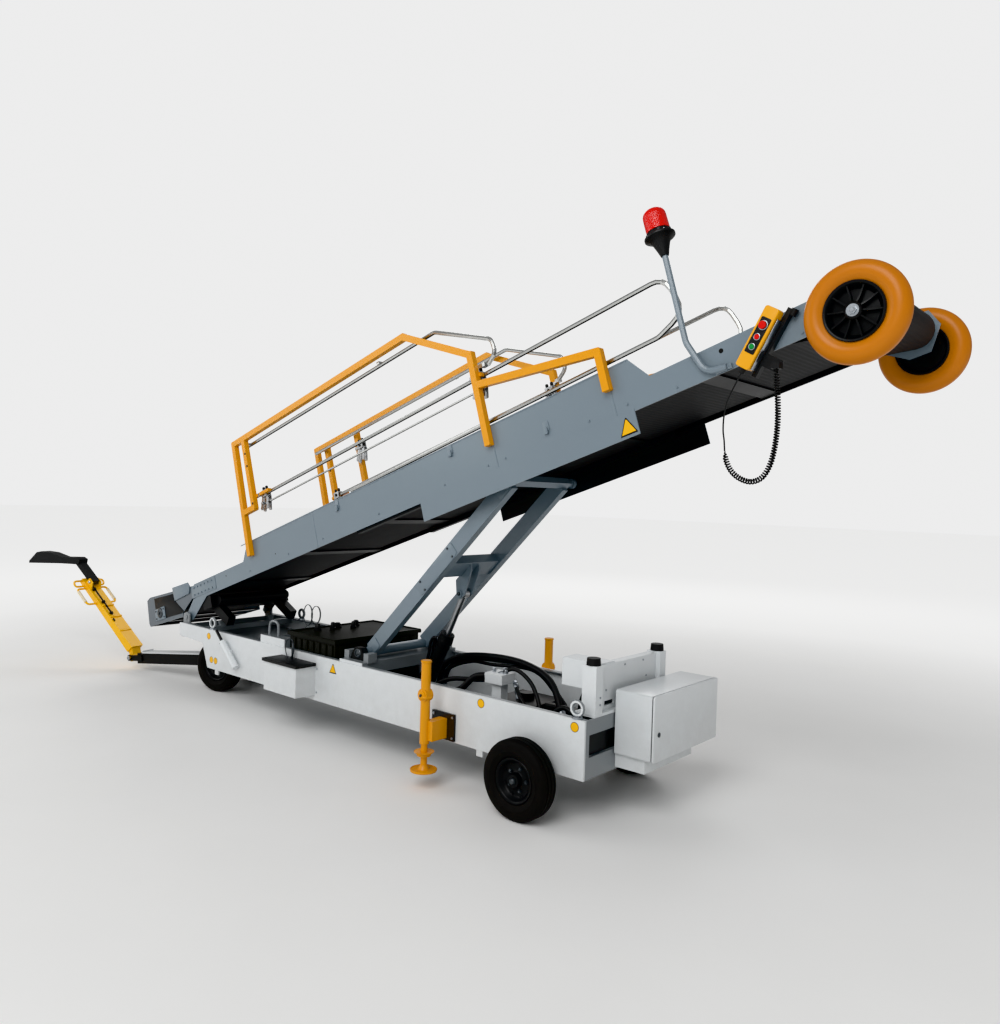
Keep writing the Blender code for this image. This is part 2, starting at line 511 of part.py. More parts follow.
# ---- lift ---------------------------------------------------------------------------------------
def make_lift(loader):
    arms = empty("arm_pivot", (ARM_X, 0, ARM_Z), loader, (0, -math.radians(ARM_DEG), 0))
    pieces = [rod(0.030, 0.600, (0, 0, 0), sides=20), rod(0.016, 0.730, (0, 0, 0), sides=16)]
    for side in (-1, 1):
        y = side * ARM_Y
        pieces.append(box((ARM_LEN - 0.02, ARM_BOX[1], ARM_BOX[0]), (ARM_LEN / 2 - 0.005, y, 0.006)))
        pieces.append(rod(0.020, 0.05, (ARM_LEN, side * 0.285, 0.004)))
        pieces.append(rod(0.030, 0.024, (ARM_LEN, side * 0.322, 0.004), sides=24))
        ear = plate([(EYE_ALONG + 0.20, -0.020), (EYE_ALONG + 0.03, -0.020), (EYE_ALONG - 0.030, -EYE_BELOW + 0.01),
                     (EYE_ALONG - 0.022, -EYE_BELOW - 0.026), (EYE_ALONG + 0.022, -EYE_BELOW - 0.030),
                     (EYE_ALONG + 0.17, -0.060)], 0.012, side * 0.036)
        pieces.append(ear)
        pieces.append(rod(0.022, 0.012, (EYE_ALONG, side * 0.045, -EYE_BELOW), sides=16))
    pieces.append(box((0.13, 2 * ARM_Y, 0.060), (EYE_ALONG + 0.145, 0, 0.000)))
    pieces.append(box((0.045, 2 * ARM_Y + 0.09, 0.045), (ARM_LEN, 0, 0.004)))
    node("lift_arms", fuse(pieces), arms, GREY, 0.45)

    eye_x = ARM_X + EYE_ALONG * math.cos(math.radians(ARM_DEG)) + EYE_BELOW * math.sin(math.radians(ARM_DEG))
    eye_z = ARM_Z + EYE_ALONG * math.sin(math.radians(ARM_DEG)) - EYE_BELOW * math.cos(math.radians(ARM_DEG))
    reach = math.dist((BASE_X, BASE_Z), (eye_x, eye_z))
    rise = math.atan2(eye_z - BASE_Z, eye_x - BASE_X)
    base = empty("cylinder_pivot", (BASE_X, 0, BASE_Z), loader, (0, -rise, 0))
    barrel_len = 0.500
    barrel = fuse([rod(0.042, barrel_len - 0.045, (0.045 + (barrel_len - 0.045) / 2, 0, 0), "X", 24),
                   rod(0.034, 0.092, (0, 0, 0), sides=20), box((0.06, 0.06, 0.05), (0.03, 0, 0)),
                   rod(0.047, 0.035, (barrel_len - 0.020, 0, 0), "X", 24)])
    bore = rod(0.0208, barrel_len, (0.09 + barrel_len / 2, 0, 0), "X", 20)
    barrel = carve(barrel, [rod(0.014 + RUN, 0.12, (0, 0, 0), sides=16), bore])
    node("lift_cylinder", barrel, base, BLACK, 0.35)
    slide = empty("rod_slide", (reach, 0, 0), base)
    inner = 0.350 - reach
    pieces = [rod(0.020, -inner - 0.02, (inner / 2 - 0.01, 0, 0), "X", 20), rod(0.030, 0.040, (0, 0, 0), sides=20)]
    ram = carve(fuse(pieces), [rod(0.015, 0.08, (0, 0, 0), sides=16)])
    node("lift_rod", ram, slide, STEEL, 0.2, 1.0)


# ---- boom ---------------------------------------------------------------------------------------
PANEL_START, LOW_END = 0.13, 5.46
TALL_START, TALL_END = 0.879, 4.386
SKIRT = (2.83, 4.36)
POSTS = (1.020, 3.455, 4.258)


def boom_side(side):
    y = side * (BOOM_Y - PANEL_T / 2)
    outline = [(PANEL_START, LOW_B + 0.02), (PANEL_START, MID_B), (TALL_START, MID_B), (TALL_START + 0.088, TOP_B),
               (TALL_END, TOP_B), (TALL_END + 0.093, MID_B), (LOW_END, MID_B + 0.01), (LOW_END, LOW_B),
               (0.300, LOW_B), (0.045, -0.036), (-0.036, -0.028), (-0.034, 0.030), (0.095, LOW_B + 0.02)]
    web = plate(outline, PANEL_T, y)
    inner = side * (BOOM_Y - PANEL_T)
    lip = tuple(sorted((inner + side * 0.002, inner - side * 0.005)))
    foot = span((0.36, LOW_END - 0.10), lip, (LOW_B + 0.0005, LOW_B + 0.005))
    skirt = span(SKIRT, tuple(sorted((side * (BOOM_Y + 0.0025), side * (BOOM_Y - 0.0028)))), (-0.008, LOW_B + 0.012))
    head = plate([(LOW_END - 0.16, MID_B + 0.005), (LOW_END + 0.08, MID_B - 0.02), (LOW_END + 0.11, ROLL_Z),
                  (BUMPER_X + 0.05, BUMPER_Z - 0.045), (BUMPER_X - 0.045, BUMPER_Z - 0.045),
                  (LOW_END - 0.16, LOW_B)], 0.008, side * (BOOM_Y + 0.0035))
    axle = rod(0.012, 0.150, (BUMPER_X, side * (BOOM_Y + 0.0715), BUMPER_Z), sides=16)
    collar = rod(0.024, BUMPER_Y - BUMPER_W / 2 - BOOM_Y - 0.004, (BUMPER_X, side * 0.3925, BUMPER_Z), sides=16)
    pieces = [web, foot, skirt, head, axle, collar]
    pieces += [span((x - 0.012, x + 0.012), tuple(sorted((inner + side * 0.001, inner - side * 0.007))),
                    (LOW_B + 0.002, MID_B - 0.02)) for x in (1.79, 3.465, 4.255)]
    holes = [rod(0.018 + RUN, 0.05, (0, y, 0), sides=16),
             rod(0.0155, 0.05, (HEAD_ROLL_X, y, ROLL_Z), sides=16)]
    return carve(fuse(pieces), holes)


def make_boom(loader):
    boom = empty("boom_pivot", (PIVOT_X, 0, PIVOT_Z), loader, (0, -math.radians(BOOM_DEG), 0))
    for side, name in ((-1, "right"), (1, "left")):
        node("boom_side_" + name, boom_side(side), boom, GREY, 0.45)

    # slider bed with its cross members, which also carry the lift rollers' track
    inner = BOOM_Y - PANEL_T - FIT
    bed_z = BELT_TOP - BELT_T - 0.0015
    pieces = [span((-0.20, HEAD_ROLL_X - 0.13), (-0.315, 0.315), (bed_z - 0.004, bed_z))]
    for x in (0.70, 1.60, 2.40, 3.05, 4.00, 4.75):
        for end in (-1, 1):
            pieces.append(span((x - 0.045, x + 0.045), tuple(sorted((end * 0.3145, end * inner))),
                               (0.112, bed_z - 0.001)))
        pieces.append(span((x - 0.043, x + 0.043), (-inner + 0.001, inner - 0.001), (0.1125, 0.1165)))
    for end in (-1, 1):
        pieces.append(span((2.20, 4.20), tuple(sorted((end * 0.308, end * 0.3146))), (0.1128, 0.150)))
        pieces.append(span((2.20, 4.20), tuple(sorted((end * 0.306, end * 0.342))), (0.0905, 0.1135)))
    node("belt_bed", fuse(pieces), boom, BLACK, 0.5)

    # belt: one closed loop round both rollers
    def leave(centre, snub, radius, inset):
        """Angle past straight down at which the belt leaves a roller for its snub."""
        reach = abs(snub - centre)
        return math.asin(radius / reach) - math.atan2(ROLL_Z - RETURN_Z - inset, reach)

    def loop_outline(radius):
        inset = BELT_TOP - ROLL_Z - radius
        points = []
        for centre, snub, first, turn in ((HEAD_ROLL_X, SNUBS[1], 90, 1), (TAIL_ROLL_X, SNUBS[0], 270, 0)):
            past = math.degrees(leave(centre, snub, radius, inset))
            first, last = (90, -90 - past) if turn else (270 + past, 90)
            for step in range(BELT_STEPS + 1):
                angle = math.radians(first + (last - first) * step / BELT_STEPS)
                points.append((centre + radius * math.cos(angle), ROLL_Z + radius * math.sin(angle)))
            if turn:
                points += [(SNUBS[1], RETURN_Z + inset), (SNUBS[0], RETURN_Z + inset)]
        return points

    outer = plate(loop_outline(BELT_TOP - ROLL_Z), BELT_W, 0)
    hollow = plate(loop_outline(BELT_TOP - ROLL_Z - BELT_T), BELT_W + 0.02, 0)
    node("belt", carve(outer, [hollow]), boom, BLACK, 0.7)
    for name, x in (("tail_roller", TAIL_ROLL_X), ("head_roller", HEAD_ROLL_X)):
        pieces = [rod(ROLL_R, BELT_W + 0.02, (x, 0, ROLL_Z), sides=28)]
        pieces.append(rod(0.015, 2 * (BOOM_Y - PANEL_T) + (0.008 if x > 0 else -0.001), (x, 0, ROLL_Z), sides=16))
        node(name, fuse(pieces), boom, STEEL, 0.3, 0.9)
    make_tail(boom)
    return boom


def make_tail(boom):
    """End guard round the tail roller: a curved sheet, its side plates and the drive housing below."""
    outline = [(0.115, 0.228), (-0.62, 0.292), (-0.675, 0.275), (-0.690, 0.080), (-0.675, 0.050), (-0.10, 0.020),
               (-0.10, 0.052), (0.115, 0.150)]
    pieces = []
    for side in (-1, 1):
        pieces.append(plate(outline, 0.006, side * (BOOM_Y - 0.003)))
    guard = [(-0.57, 0.2872), (-0.62, 0.2905), (-0.675, 0.275), (-0.690, 0.080), (-0.675, 0.050), (-0.62, 0.0455),
             (-0.62, 0.0505), (-0.671, 0.056), (-0.684, 0.082), (-0.669, 0.270), (-0.62, 0.2845), (-0.57, 0.2812)]
    pieces.append(plate(guard, 2 * BOOM_Y - 0.002, 0))
    for x in (-0.34, -0.14):
        pieces.append(span((x - 0.02, x + 0.02), (-BOOM_Y + 0.002, BOOM_Y - 0.002), (0.0305, 0.0425)))
    shell = fuse(pieces)
    holes = [rod(0.0155, 0.06, (TAIL_ROLL_X, side * BOOM_Y, ROLL_Z), sides=16) for side in (-1, 1)]
    shell = carve(shell, holes)
    node("tail_guard", shell, boom, GREY, 0.4)
    pieces = [span((0.215, 0.345), (-0.3505, 0.3505), (0.004, 0.100)), rod(0.030, 0.62, (0.395, 0, 0.050), sides=16)]
    for side in (-1, 1):
        ends = tuple(sorted((side * 0.250, side * 0.310)))
        pieces.append(span((0.340, 0.400), ends, (0.010, 0.090)))
        pieces.append(bar((0.300, 0.030), (0.470, -0.140), 0.075, 0.060))
        pieces[-1].location.y = side * 0.280
    drive = fuse(pieces)
    node("drive_housing", drive, boom, GREY, 0.5)


def make_handrails(boom):
    for side, name in ((-1, "right"), (1, "left")):
        y = side * RAIL_Y
        first, second, third = POSTS
        foot = MID_B + 0.010
        members = [((first, foot), (first + 0.020, 1.115)), ((first + 0.003, 1.101), (2.995, 1.101)),
                   ((2.985, 1.101), (second + 0.012, 0.775)), ((second, foot), (second + 0.008, 0.793)),
                   ((second - 0.01, 0.600), (third + 0.010, 0.447)), ((third - 0.004, foot), (third, 0.462))]
        members += [((first + 0.15, 0.560), (first + 0.15, 1.095)), ((first, 0.570), (first + 0.165, 0.570))]
        if side > 0:
            members.append(((first + 0.53, 0.600), (first + 0.53, 1.095)))
            members.append(((first + 0.165, 0.590), (first + 0.545, 0.610)))
        pieces = [bar(start, end, RAIL, RAIL - 0.004) for start, end in members]
        for piece in pieces:
            piece.location.y = y
        for x in POSTS:
            pieces.append(span((x - 0.018, x + 0.018), tuple(sorted((side * (BOOM_Y + FIT), y))),
                               (foot + 0.004, foot + 0.07)))
        guide = tuple(sorted((side * (TUBE_Y + TUBE_R + FIT), side * (RAIL_Y - 0.010))))
        for ends in ((first + 0.14, first + 0.33), (second - 0.02, second + 0.04)):
            pieces.append(span(ends, guide, (0.644, 0.664)))
        node("handrail_" + name, fuse(pieces), boom, YELLOW, 0.35)

        inside = side * TUBE_Y
        fixed = tube([(first + 0.06, inside, 1.057), (3.187, inside, 1.050), (3.591, inside, 0.828),
                      (3.600, inside, 0.745), (3.530, inside, 0.700)], TUBE_R, 0.06)
        tabs = [span((x - 0.012, x + 0.012), tuple(sorted((inside, side * (RAIL_Y - RAIL / 2 + 0.002 - FIT)))),
                     (1.050, 1.066)) for x in (first + 0.15, 2.70)]
        clamp = span((3.500, 3.530), tuple(sorted((inside, side * (RAIL_Y - RAIL / 2 + 0.002 - FIT)))),
                     (0.690, 0.712))
        link = span((3.440, 3.515), tuple(sorted((side * (RAIL_Y - RAIL / 2 + 0.002 - FIT - 0.006),
                                                  side * (RAIL_Y - RAIL / 2 + 0.002 - FIT)))), (0.690, 0.712))
        node("inner_rail_" + name, fuse([fixed, clamp, link] + tabs), boom, STEEL, 0.2, 1.0)

        slide = empty("rail_slide_" + name, (0, inside, 0), boom)
        loop = tube([(1.300, 0, 0.652), (4.660, 0, 0.660), (4.720, 0, 0.460), (4.560, 0, 0.400), (2.200, 0, 0.380)],
                    TUBE_R, 0.09)
        node("slide_rail_" + name, loop, slide, STEEL, 0.2, 1.0)


def make_bumper_wheels(boom):
    half = BUMPER_W / 2
    for side, name in ((-1, "right"), (1, "left")):
        hub = empty("bumper_hub_" + name, (BUMPER_X, side * BUMPER_Y, BUMPER_Z), boom)
        tyre = [(BUMPER_R, half * 0.40), (BUMPER_R, -half * 0.40), (0.176, -half * 0.93), (0.150, -half),
                (0.1165, -half * 0.86), (0.1165, half * 0.86), (0.150, half), (0.176, half * 0.93)]
        node("bumper_%s_tyre" % name, turned(tyre, (0, 0, 0), True), hub, ORANGE, 0.45)
        rim = [(0.0127, 0.050), (0.028, 0.050), (0.030, 0.018), (0.095, 0.012), (0.106, 0.036), (0.116, 0.037),
               (0.116, -0.037), (0.0127, -0.040)]
        node("bumper_%s_rim" % name, turned(rim, (0, 0, 0), True, 28, (math.pi / 2 * -side, 0, 0)), hub, BLACK, 0.4)


# ---- beacon and pendant -------------------------------------------------------------------------
def make_beacon(boom):
    y = -BOOM_Y - 0.018
    beacon = empty("beacon_stand", (0, y, 0), boom)
    pole = tube([(4.860, 0, 0.118), (4.760, 0, 0.130), (4.706, 0, 0.300), (4.719, 0, 0.726)], 0.015, 0.10)
    flange = span((4.800, 4.880), (0.0003, 0.018 - FIT), (0.108, 0.128))
    node("beacon_pole", fuse([pole, flange]), beacon, GREY, 0.4)
    head = empty("beacon_head", (4.719, 0, 0.7269), beacon)
    base = [(0, 0.125), (0.054, 0.125), (0.059, 0.108), (0.0725, 0.102), (0.0725, 0.090), (0.050, 0.078),
            (0.020, 0.0), (0, 0.0)]
    node("beacon_base", turned(base, (0, 0, 0), False, 28, (0, 0, 0)), head, BLACK, 0.4)
    lens = [(0, 0.2315), (0.044, 0.2315), (0.0535, 0.218), (0.056, 0.1253), (0, 0.1253)]
    node("beacon_lens", turned(lens, (0, 0, 0), False, 28, (0, 0, 0)), head, RED, 0.2)


PENDANT_DEG = 43.0


def make_pendant(boom):
    stand = empty("pendant_stand", (5.045, -BOOM_Y, 0.160), boom, (0, -math.radians(PENDANT_DEG), 0))
    upright = (0, math.radians(BOOM_DEG + PENDANT_DEG), 0)
    holder = [span((-0.150, 0.160), (-0.034, -FIT), (-0.055, -0.034)),
              span((-0.130, 0.100), (-0.0345, -0.024), (-0.040, 0.034)),
              span((-0.020, 0.050), (-0.030, -FIT), (-0.030, 0.020)),
              rod(0.015, 0.030, (0.150, -0.020, -0.062), "X", 16),
              span((-0.095, -0.040), (-0.034, -0.026), (-0.130, -0.050)),
              box((0.036, 0.040, 0.026), (-0.068, -0.050, -0.121), upright)]
    node("pendant_holder", fuse(holder), stand, BLACK, 0.3)
    body = [span((-0.135, 0.135), (-0.088, -0.0348), (-0.033, 0.034)), rod(0.017, 0.016, (0.055, -0.095, 0.0), "Y", 20)]
    body += [rod(0.012, 0.010, (x, -0.092, 0.0), "Y", 16) for x in (0.005, -0.040)]
    body.append(rod(0.012, 0.022, (-0.145, -0.061, 0), "X", 16))
    node("pendant", fuse(body), stand, YELLOW, 0.4)


# The cord hangs from the pendant's gland, goes curly and comes up into its socket in the holder.
CORD_LEAD = [(1.0646, -0.417, 2.1839), (1.052, -0.417, 2.161), (1.026, -0.417, 2.112), (1.003, -0.416, 2.062),
             (0.990, -0.414, 2.000), (0.988, -0.412, 1.940), (0.993, -0.410, 1.900), (0.997, -0.410, 1.8525)]
CORD_CURLY = [(0.998, -0.410, 1.8515), (1.006, -0.410, 1.812), (1.030, -0.410, 1.768), (1.070, -0.410, 1.736),
              (1.121, -0.410, 1.722), (1.168, -0.410, 1.740), (1.200, -0.410, 1.790), (1.218, -0.410, 1.860),
              (1.227, -0.410, 1.950), (1.226, -0.410, 2.040), (1.219, -0.410, 2.120), (1.214, -0.410, 2.1877)]


def smooth(points, steps):
    """More points on the smooth curve that runs through these (Catmull-Rom)."""
    knots = [Vector(point) for point in points]
    knots = [2 * knots[0] - knots[1]] + knots + [2 * knots[-1] - knots[-2]]
    path = []
    for before, start, end, after in zip(knots, knots[1:], knots[2:], knots[3:]):
        for step in range(steps):
            t = step / steps
            path.append(0.5 * (2 * start + (end - before) * t + (2 * before - 5 * start + 4 * end - after) * t ** 2
                               + (3 * start - before - 3 * end + after) * t ** 3))
    return path + [knots[-2]]


def make_cord(parent):
    """Curly cord of the pendant: a thin lead, then one fat tube of the coil's outer size."""
    for name, points, radius in (("pendant_cord_lead", CORD_LEAD, 0.0035),
                                 ("pendant_cord_curly", CORD_CURLY, 0.013)):
        node(name, tube(smooth(points, 4), radius), parent, BLACK, 0.5)


# ---- whole machine ------------------------------------------------------------------------------
clear()
PARTS = collection("baggage_belt_loader")
LOADER = empty("loader", (ORIGIN_X, ORIGIN_Y, 0))
make_chassis(LOADER)
make_fixed_axle(LOADER)
BOGIE = make_steering(LOADER)
make_wheels(LOADER, BOGIE)
make_tow_bar(BOGIE)
make_jacks(LOADER)
make_head_end(LOADER)
make_covers(LOADER)
make_lift(LOADER)
BOOM = make_boom(LOADER)
make_handrails(BOOM)
make_bumper_wheels(BOOM)
make_beacon(BOOM)
make_pendant(BOOM)
make_cord(LOADER)
bpy.context.view_layer.update()
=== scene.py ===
# %% [markdown]
# # Towable baggage belt loader
# A low chassis carries a long conveyor boom that a pair of arms lifts. The solid parts come from the packed
# model, which is loaded first and never changed. This lesson gives them their finishes, adds the small trim
# that a CAD model leaves out, and sets up a plain studio.

# %% Load the frame
import json
import math

import bmesh
import bpy
from mathutils import Matrix, Vector


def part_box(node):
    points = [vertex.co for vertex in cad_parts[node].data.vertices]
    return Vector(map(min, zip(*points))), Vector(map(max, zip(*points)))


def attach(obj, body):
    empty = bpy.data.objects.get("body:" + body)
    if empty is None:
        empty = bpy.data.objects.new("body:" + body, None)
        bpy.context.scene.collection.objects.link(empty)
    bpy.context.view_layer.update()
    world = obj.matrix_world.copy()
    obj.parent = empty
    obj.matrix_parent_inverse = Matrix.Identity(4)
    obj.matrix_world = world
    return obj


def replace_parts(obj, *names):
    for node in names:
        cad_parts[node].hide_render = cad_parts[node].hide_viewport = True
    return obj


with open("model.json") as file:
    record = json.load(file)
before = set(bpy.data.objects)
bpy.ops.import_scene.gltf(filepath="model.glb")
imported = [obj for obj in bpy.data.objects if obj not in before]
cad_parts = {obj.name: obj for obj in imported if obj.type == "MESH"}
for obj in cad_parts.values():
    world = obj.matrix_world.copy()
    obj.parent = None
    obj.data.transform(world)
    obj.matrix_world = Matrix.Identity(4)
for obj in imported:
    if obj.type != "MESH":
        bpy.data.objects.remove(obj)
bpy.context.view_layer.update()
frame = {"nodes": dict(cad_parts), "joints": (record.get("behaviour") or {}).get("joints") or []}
parts = frame["nodes"]

# %% [markdown]
# Every place below is measured from the fixed axle, on the ground and on the machine's middle line. The boom
# has its own frame: x runs along it from its pivot, y to the left, and z stands square to it. Both come from
# the model, so trim stays on its part.

# %% Where things are
low, high = (Vector(corner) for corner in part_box("fixed_axle"))
AXLE = Vector(((low.x + high.x) / 2, (low.y + high.y) / 2, 0))
joints = {joint["name"]: joint for joint in frame["joints"]}
BOOM_TILT = math.radians(18.3)
BOOM = Matrix.Translation(joints["boom_lift"]["pos_m"]) @ Matrix.Rotation(-BOOM_TILT, 4, "Y")
GROUND = Matrix.Translation(AXLE)
BOOM_SIDE = 0.356                     # outer face of the boom's side panels
PLATE_SIDE = 0.427                    # outer face of the chassis side plates
DECK = 0.545                          # top of the side plates
print("axle at", [round(value, 4) for value in AXLE])

# %% [markdown]
# ## The camera
# It stands about a wheel's height above the side plates and looks along the machine from its raised end's
# near corner. A wide lens is what makes the bumper wheels look so large.

# %% Camera
HEADING, DIP, ROLL = (math.radians(value) for value in (40.98, -1.07, 1.72))
FOCAL_PIXELS, FRAME_HEIGHT, SENSOR = 822.0, 1024.0, 36.0

camera_data = bpy.data.cameras.new("studio_camera")
camera = bpy.data.objects.new("studio_camera", camera_data)
bpy.context.scene.collection.objects.link(camera)
camera_data.sensor_width = SENSOR
camera_data.lens = SENSOR * FOCAL_PIXELS / FRAME_HEIGHT
camera_data.clip_end = 200
forward = Vector((-math.sin(HEADING) * math.cos(DIP), math.cos(HEADING) * math.cos(DIP), math.sin(DIP)))
level = forward.cross(Vector((0, 0, 1))).normalized()
upright = level.cross(forward)
right = level * math.cos(ROLL) + upright * math.sin(ROLL)
up = right.cross(forward)
camera.matrix_world = Matrix.Translation(AXLE + Vector((2.6016, -3.7227, 1.6275))) @ Matrix(
    (right, up, -forward)).transposed().to_4x4()
bpy.context.scene.camera = camera
print("lens", round(camera_data.lens, 2), "mm")

# %% [markdown]
# ## Finishes
# Each finish is one material. A small function adds a node with its settings and links, so that each material
# reads as a short recipe: the base colour with a little drift, the roughness, and a bump whose scale comes
# from a real size in millimetres.

# %% Colour and node helpers
def linear(colour):
    """An sRGB hex colour as the linear RGBA that Blender shades with."""
    channels = [int(colour[index:index + 2], 16) / 255 for index in (1, 3, 5)]
    return [value / 12.92 if value <= 0.04045 else ((value + 0.055) / 1.055) ** 2.4 for value in channels] + [1.0]


def add(tree, kind, settings=None, links=None):
    """A new node of this kind; settings go on its properties or input sockets, links into its inputs."""
    node = tree.nodes.new(kind)
    for key, value in (settings or {}).items():
        if isinstance(key, str) and hasattr(node, key):
            setattr(node, key, value)
        else:
            node.inputs[key].default_value = value
    for key, socket in (links or {}).items():
        tree.links.new(socket, node.inputs[key])
    return node


def new_material(name):
    """An empty node material with its Principled shader wired to the output."""
    material = bpy.data.materials.new(name)
    material.use_nodes = True
    tree = material.node_tree
    return material, tree, tree.nodes["Principled BSDF"]


def surface(name, base, worn, rough, metal=0.0, grain_mm=1.0, bump=0.05, drift_mm=400.0, mix=0.25,
            spread=0.08, grime=None, coat=0.0, ior=1.5, specular=0.5, inside=None):
    """A painted, moulded or metal surface: two close tones, uneven gloss, fine bump and dust low down.

    inside is (axis, low, high, colour): the surface between those two places takes that colour. Some finishes use it to
    paint shade on inner faces, others for a real second colour."""
    material, tree, shader = new_material(name)
    place = add(tree, "ShaderNodeTexCoord").outputs["Object"]
    cloud = add(tree, "ShaderNodeTexNoise", {"Scale": 1000.0 / drift_mm, "Detail": 6.0, "Roughness": 0.6},
                {"Vector": place})
    grain = add(tree, "ShaderNodeTexNoise", {"Scale": 1000.0 / grain_mm, "Detail": 2.0}, {"Vector": place})
    amount = add(tree, "ShaderNodeMath", {"operation": "MULTIPLY", 1: mix}, {0: cloud.outputs["Fac"]})
    tone = add(tree, "ShaderNodeMix", {"data_type": "RGBA", 6: linear(base), 7: linear(worn)},
               {0: amount.outputs[0]})
    colour = tone.outputs[2]
    if grime:
        height = add(tree, "ShaderNodeSeparateXYZ", None, {0: place})
        fall = add(tree, "ShaderNodeMapRange", {"From Min": 0.0, "From Max": 0.9, "To Min": 0.55, "To Max": 0.0},
                   {"Value": height.outputs["Z"]})
        patch = add(tree, "ShaderNodeTexNoise", {"Scale": 14.0, "Detail": 8.0, "Roughness": 0.7},
                    {"Vector": place})
        dust = add(tree, "ShaderNodeMath", {"operation": "MULTIPLY"}, {0: fall.outputs[0],
                                                                      1: patch.outputs["Fac"]})
        dusty = add(tree, "ShaderNodeMix", {"data_type": "RGBA", 7: linear(grime)},
                    {0: dust.outputs[0], 6: colour})
        colour = dusty.outputs[2]
    if inside:
        axis, start, stop, paint = inside
        where = add(tree, "ShaderNodeSeparateXYZ", None, {0: place}).outputs[axis]
        above = add(tree, "ShaderNodeMath", {"operation": "GREATER_THAN", 1: start}, {0: where})
        below = add(tree, "ShaderNodeMath", {"operation": "LESS_THAN", 1: stop}, {0: where})
        both = add(tree, "ShaderNodeMath", {"operation": "MULTIPLY"}, {0: above.outputs[0], 1: below.outputs[0]})
        painted = add(tree, "ShaderNodeMix", {"data_type": "RGBA", 7: linear(paint)},
                      {0: both.outputs[0], 6: colour})
        colour = painted.outputs[2]
    tree.links.new(colour, shader.inputs["Base Color"])
    gloss = add(tree, "ShaderNodeMapRange", {"To Min": rough - spread, "To Max": rough + spread},
                {"Value": cloud.outputs["Fac"]})
    tree.links.new(gloss.outputs[0], shader.inputs["Roughness"])
    relief = add(tree, "ShaderNodeBump", {"Strength": bump, "Distance": grain_mm / 4000.0},
                 {"Height": grain.outputs["Fac"]})
    tree.links.new(relief.outputs[0], shader.inputs["Normal"])
    shader.inputs["Metallic"].default_value = metal
    shader.inputs["Coat Weight"].default_value = coat
    shader.inputs["Coat Roughness"].default_value = 0.12
    shader.inputs["Specular IOR Level"].default_value = specular
    if not metal:
        shader.inputs["IOR"].default_value = ior
    return material


# %% [markdown]
# Paint first. The chassis and boxes are powder coated light grey, a baked polyester with a faint orange peel.
# The boom and arms are blue-grey two-pack enamel, the handrails and jacks a warm traffic yellow, and the tow
# bar a lemon yellow.

# %% Paints
LIGHT_GREY, BLUE_GREY, AMBER, BLACK = "#dfe3e5", "#79868f", "#e2990f", "#0f1011"
INNER = 0.4145                         # half the width between the chassis side plates' inner faces
finish = {
    "light_powder_coat": surface("light_powder_coat", LIGHT_GREY, "#cdd2d5", 0.34, grain_mm=3.0, bump=0.10,
                                 grime="#9a9893", coat=0.25),
    # The well between the side plates takes a darker grey: painted shade of the shadowed well, with some oily dirt.
    "light_coat_shaded_well": surface("light_coat_shaded_well", LIGHT_GREY, "#cdd2d5", 0.34, grain_mm=3.0, bump=0.10,
                                    grime="#9a9893", coat=0.25,
                                    inside=("Y", AXLE.y - INNER, AXLE.y + INNER, "#84898c")),
    "lever_coat": surface("lever_coat", LIGHT_GREY, "#cdd2d5", 0.34, grain_mm=3.0, bump=0.10, coat=0.25,
                          inside=("X", AXLE.x - 4.0, AXLE.x - 2.936, BLACK)),
    "blue_grey_enamel": surface("blue_grey_enamel", BLUE_GREY, "#6b7781", 0.36, grain_mm=3.0, bump=0.10, coat=0.2),
    # The boom's faces inside its side panels are black: painted shade of the boom's inside.
    "blue_grey_shaded_inside": surface("blue_grey_shaded_inside", BLUE_GREY, "#6b7781", 0.36, grain_mm=3.0, bump=0.10,
                                     coat=0.2, inside=("Y", AXLE.y - 0.3535, AXLE.y + 0.3535, BLACK)),
    # The tail guard's darker slate grey is partly painted shade, and its faces inside the boom sides are black: painted
    # shade.
    "slate_enamel_shaded_inside": surface("slate_enamel_shaded_inside", "#5f686f", "#4f575e", 0.34, grain_mm=3.0, bump=0.10, coat=0.2,
                            inside=("Y", AXLE.y - 0.348, AXLE.y + 0.348, BLACK)),
    "amber_enamel": surface("amber_enamel", AMBER, "#cd8608", 0.36, grain_mm=6.0, bump=0.03, coat=0.1),
    "amber_on_black_pad": surface("amber_on_black_pad", AMBER, "#cd8608", 0.33, grain_mm=2.5, bump=0.08, coat=0.2,
                                  inside=("Y", AXLE.y - 0.4418, AXLE.y + 0.4418, BLACK)),
    "lemon_enamel": surface("lemon_enamel", "#fbbf0c", "#e8a806", 0.33, grain_mm=6.0, bump=0.03, coat=0.2),
    "black_enamel_and_shade": surface("black_enamel_and_shade", BLACK, "#1b1c1e", 0.42, grain_mm=3.0, bump=0.12, grime="#2f2e2b",
                            specular=0.35),
    "wheel_enamel": surface("wheel_enamel", "#0f1011", "#1a1b1d", 0.40, grain_mm=3.0, bump=0.10, specular=0.35),
}
print("paints:", len(finish))

# %% [markdown]
# Rubber and plastics. Tyres are carbon-black rubber with a dusty bloom, the bumper wheels are orange cast
# polyurethane, satin and very even, and the covers are moulded ABS or polyethylene with a fine spark texture.

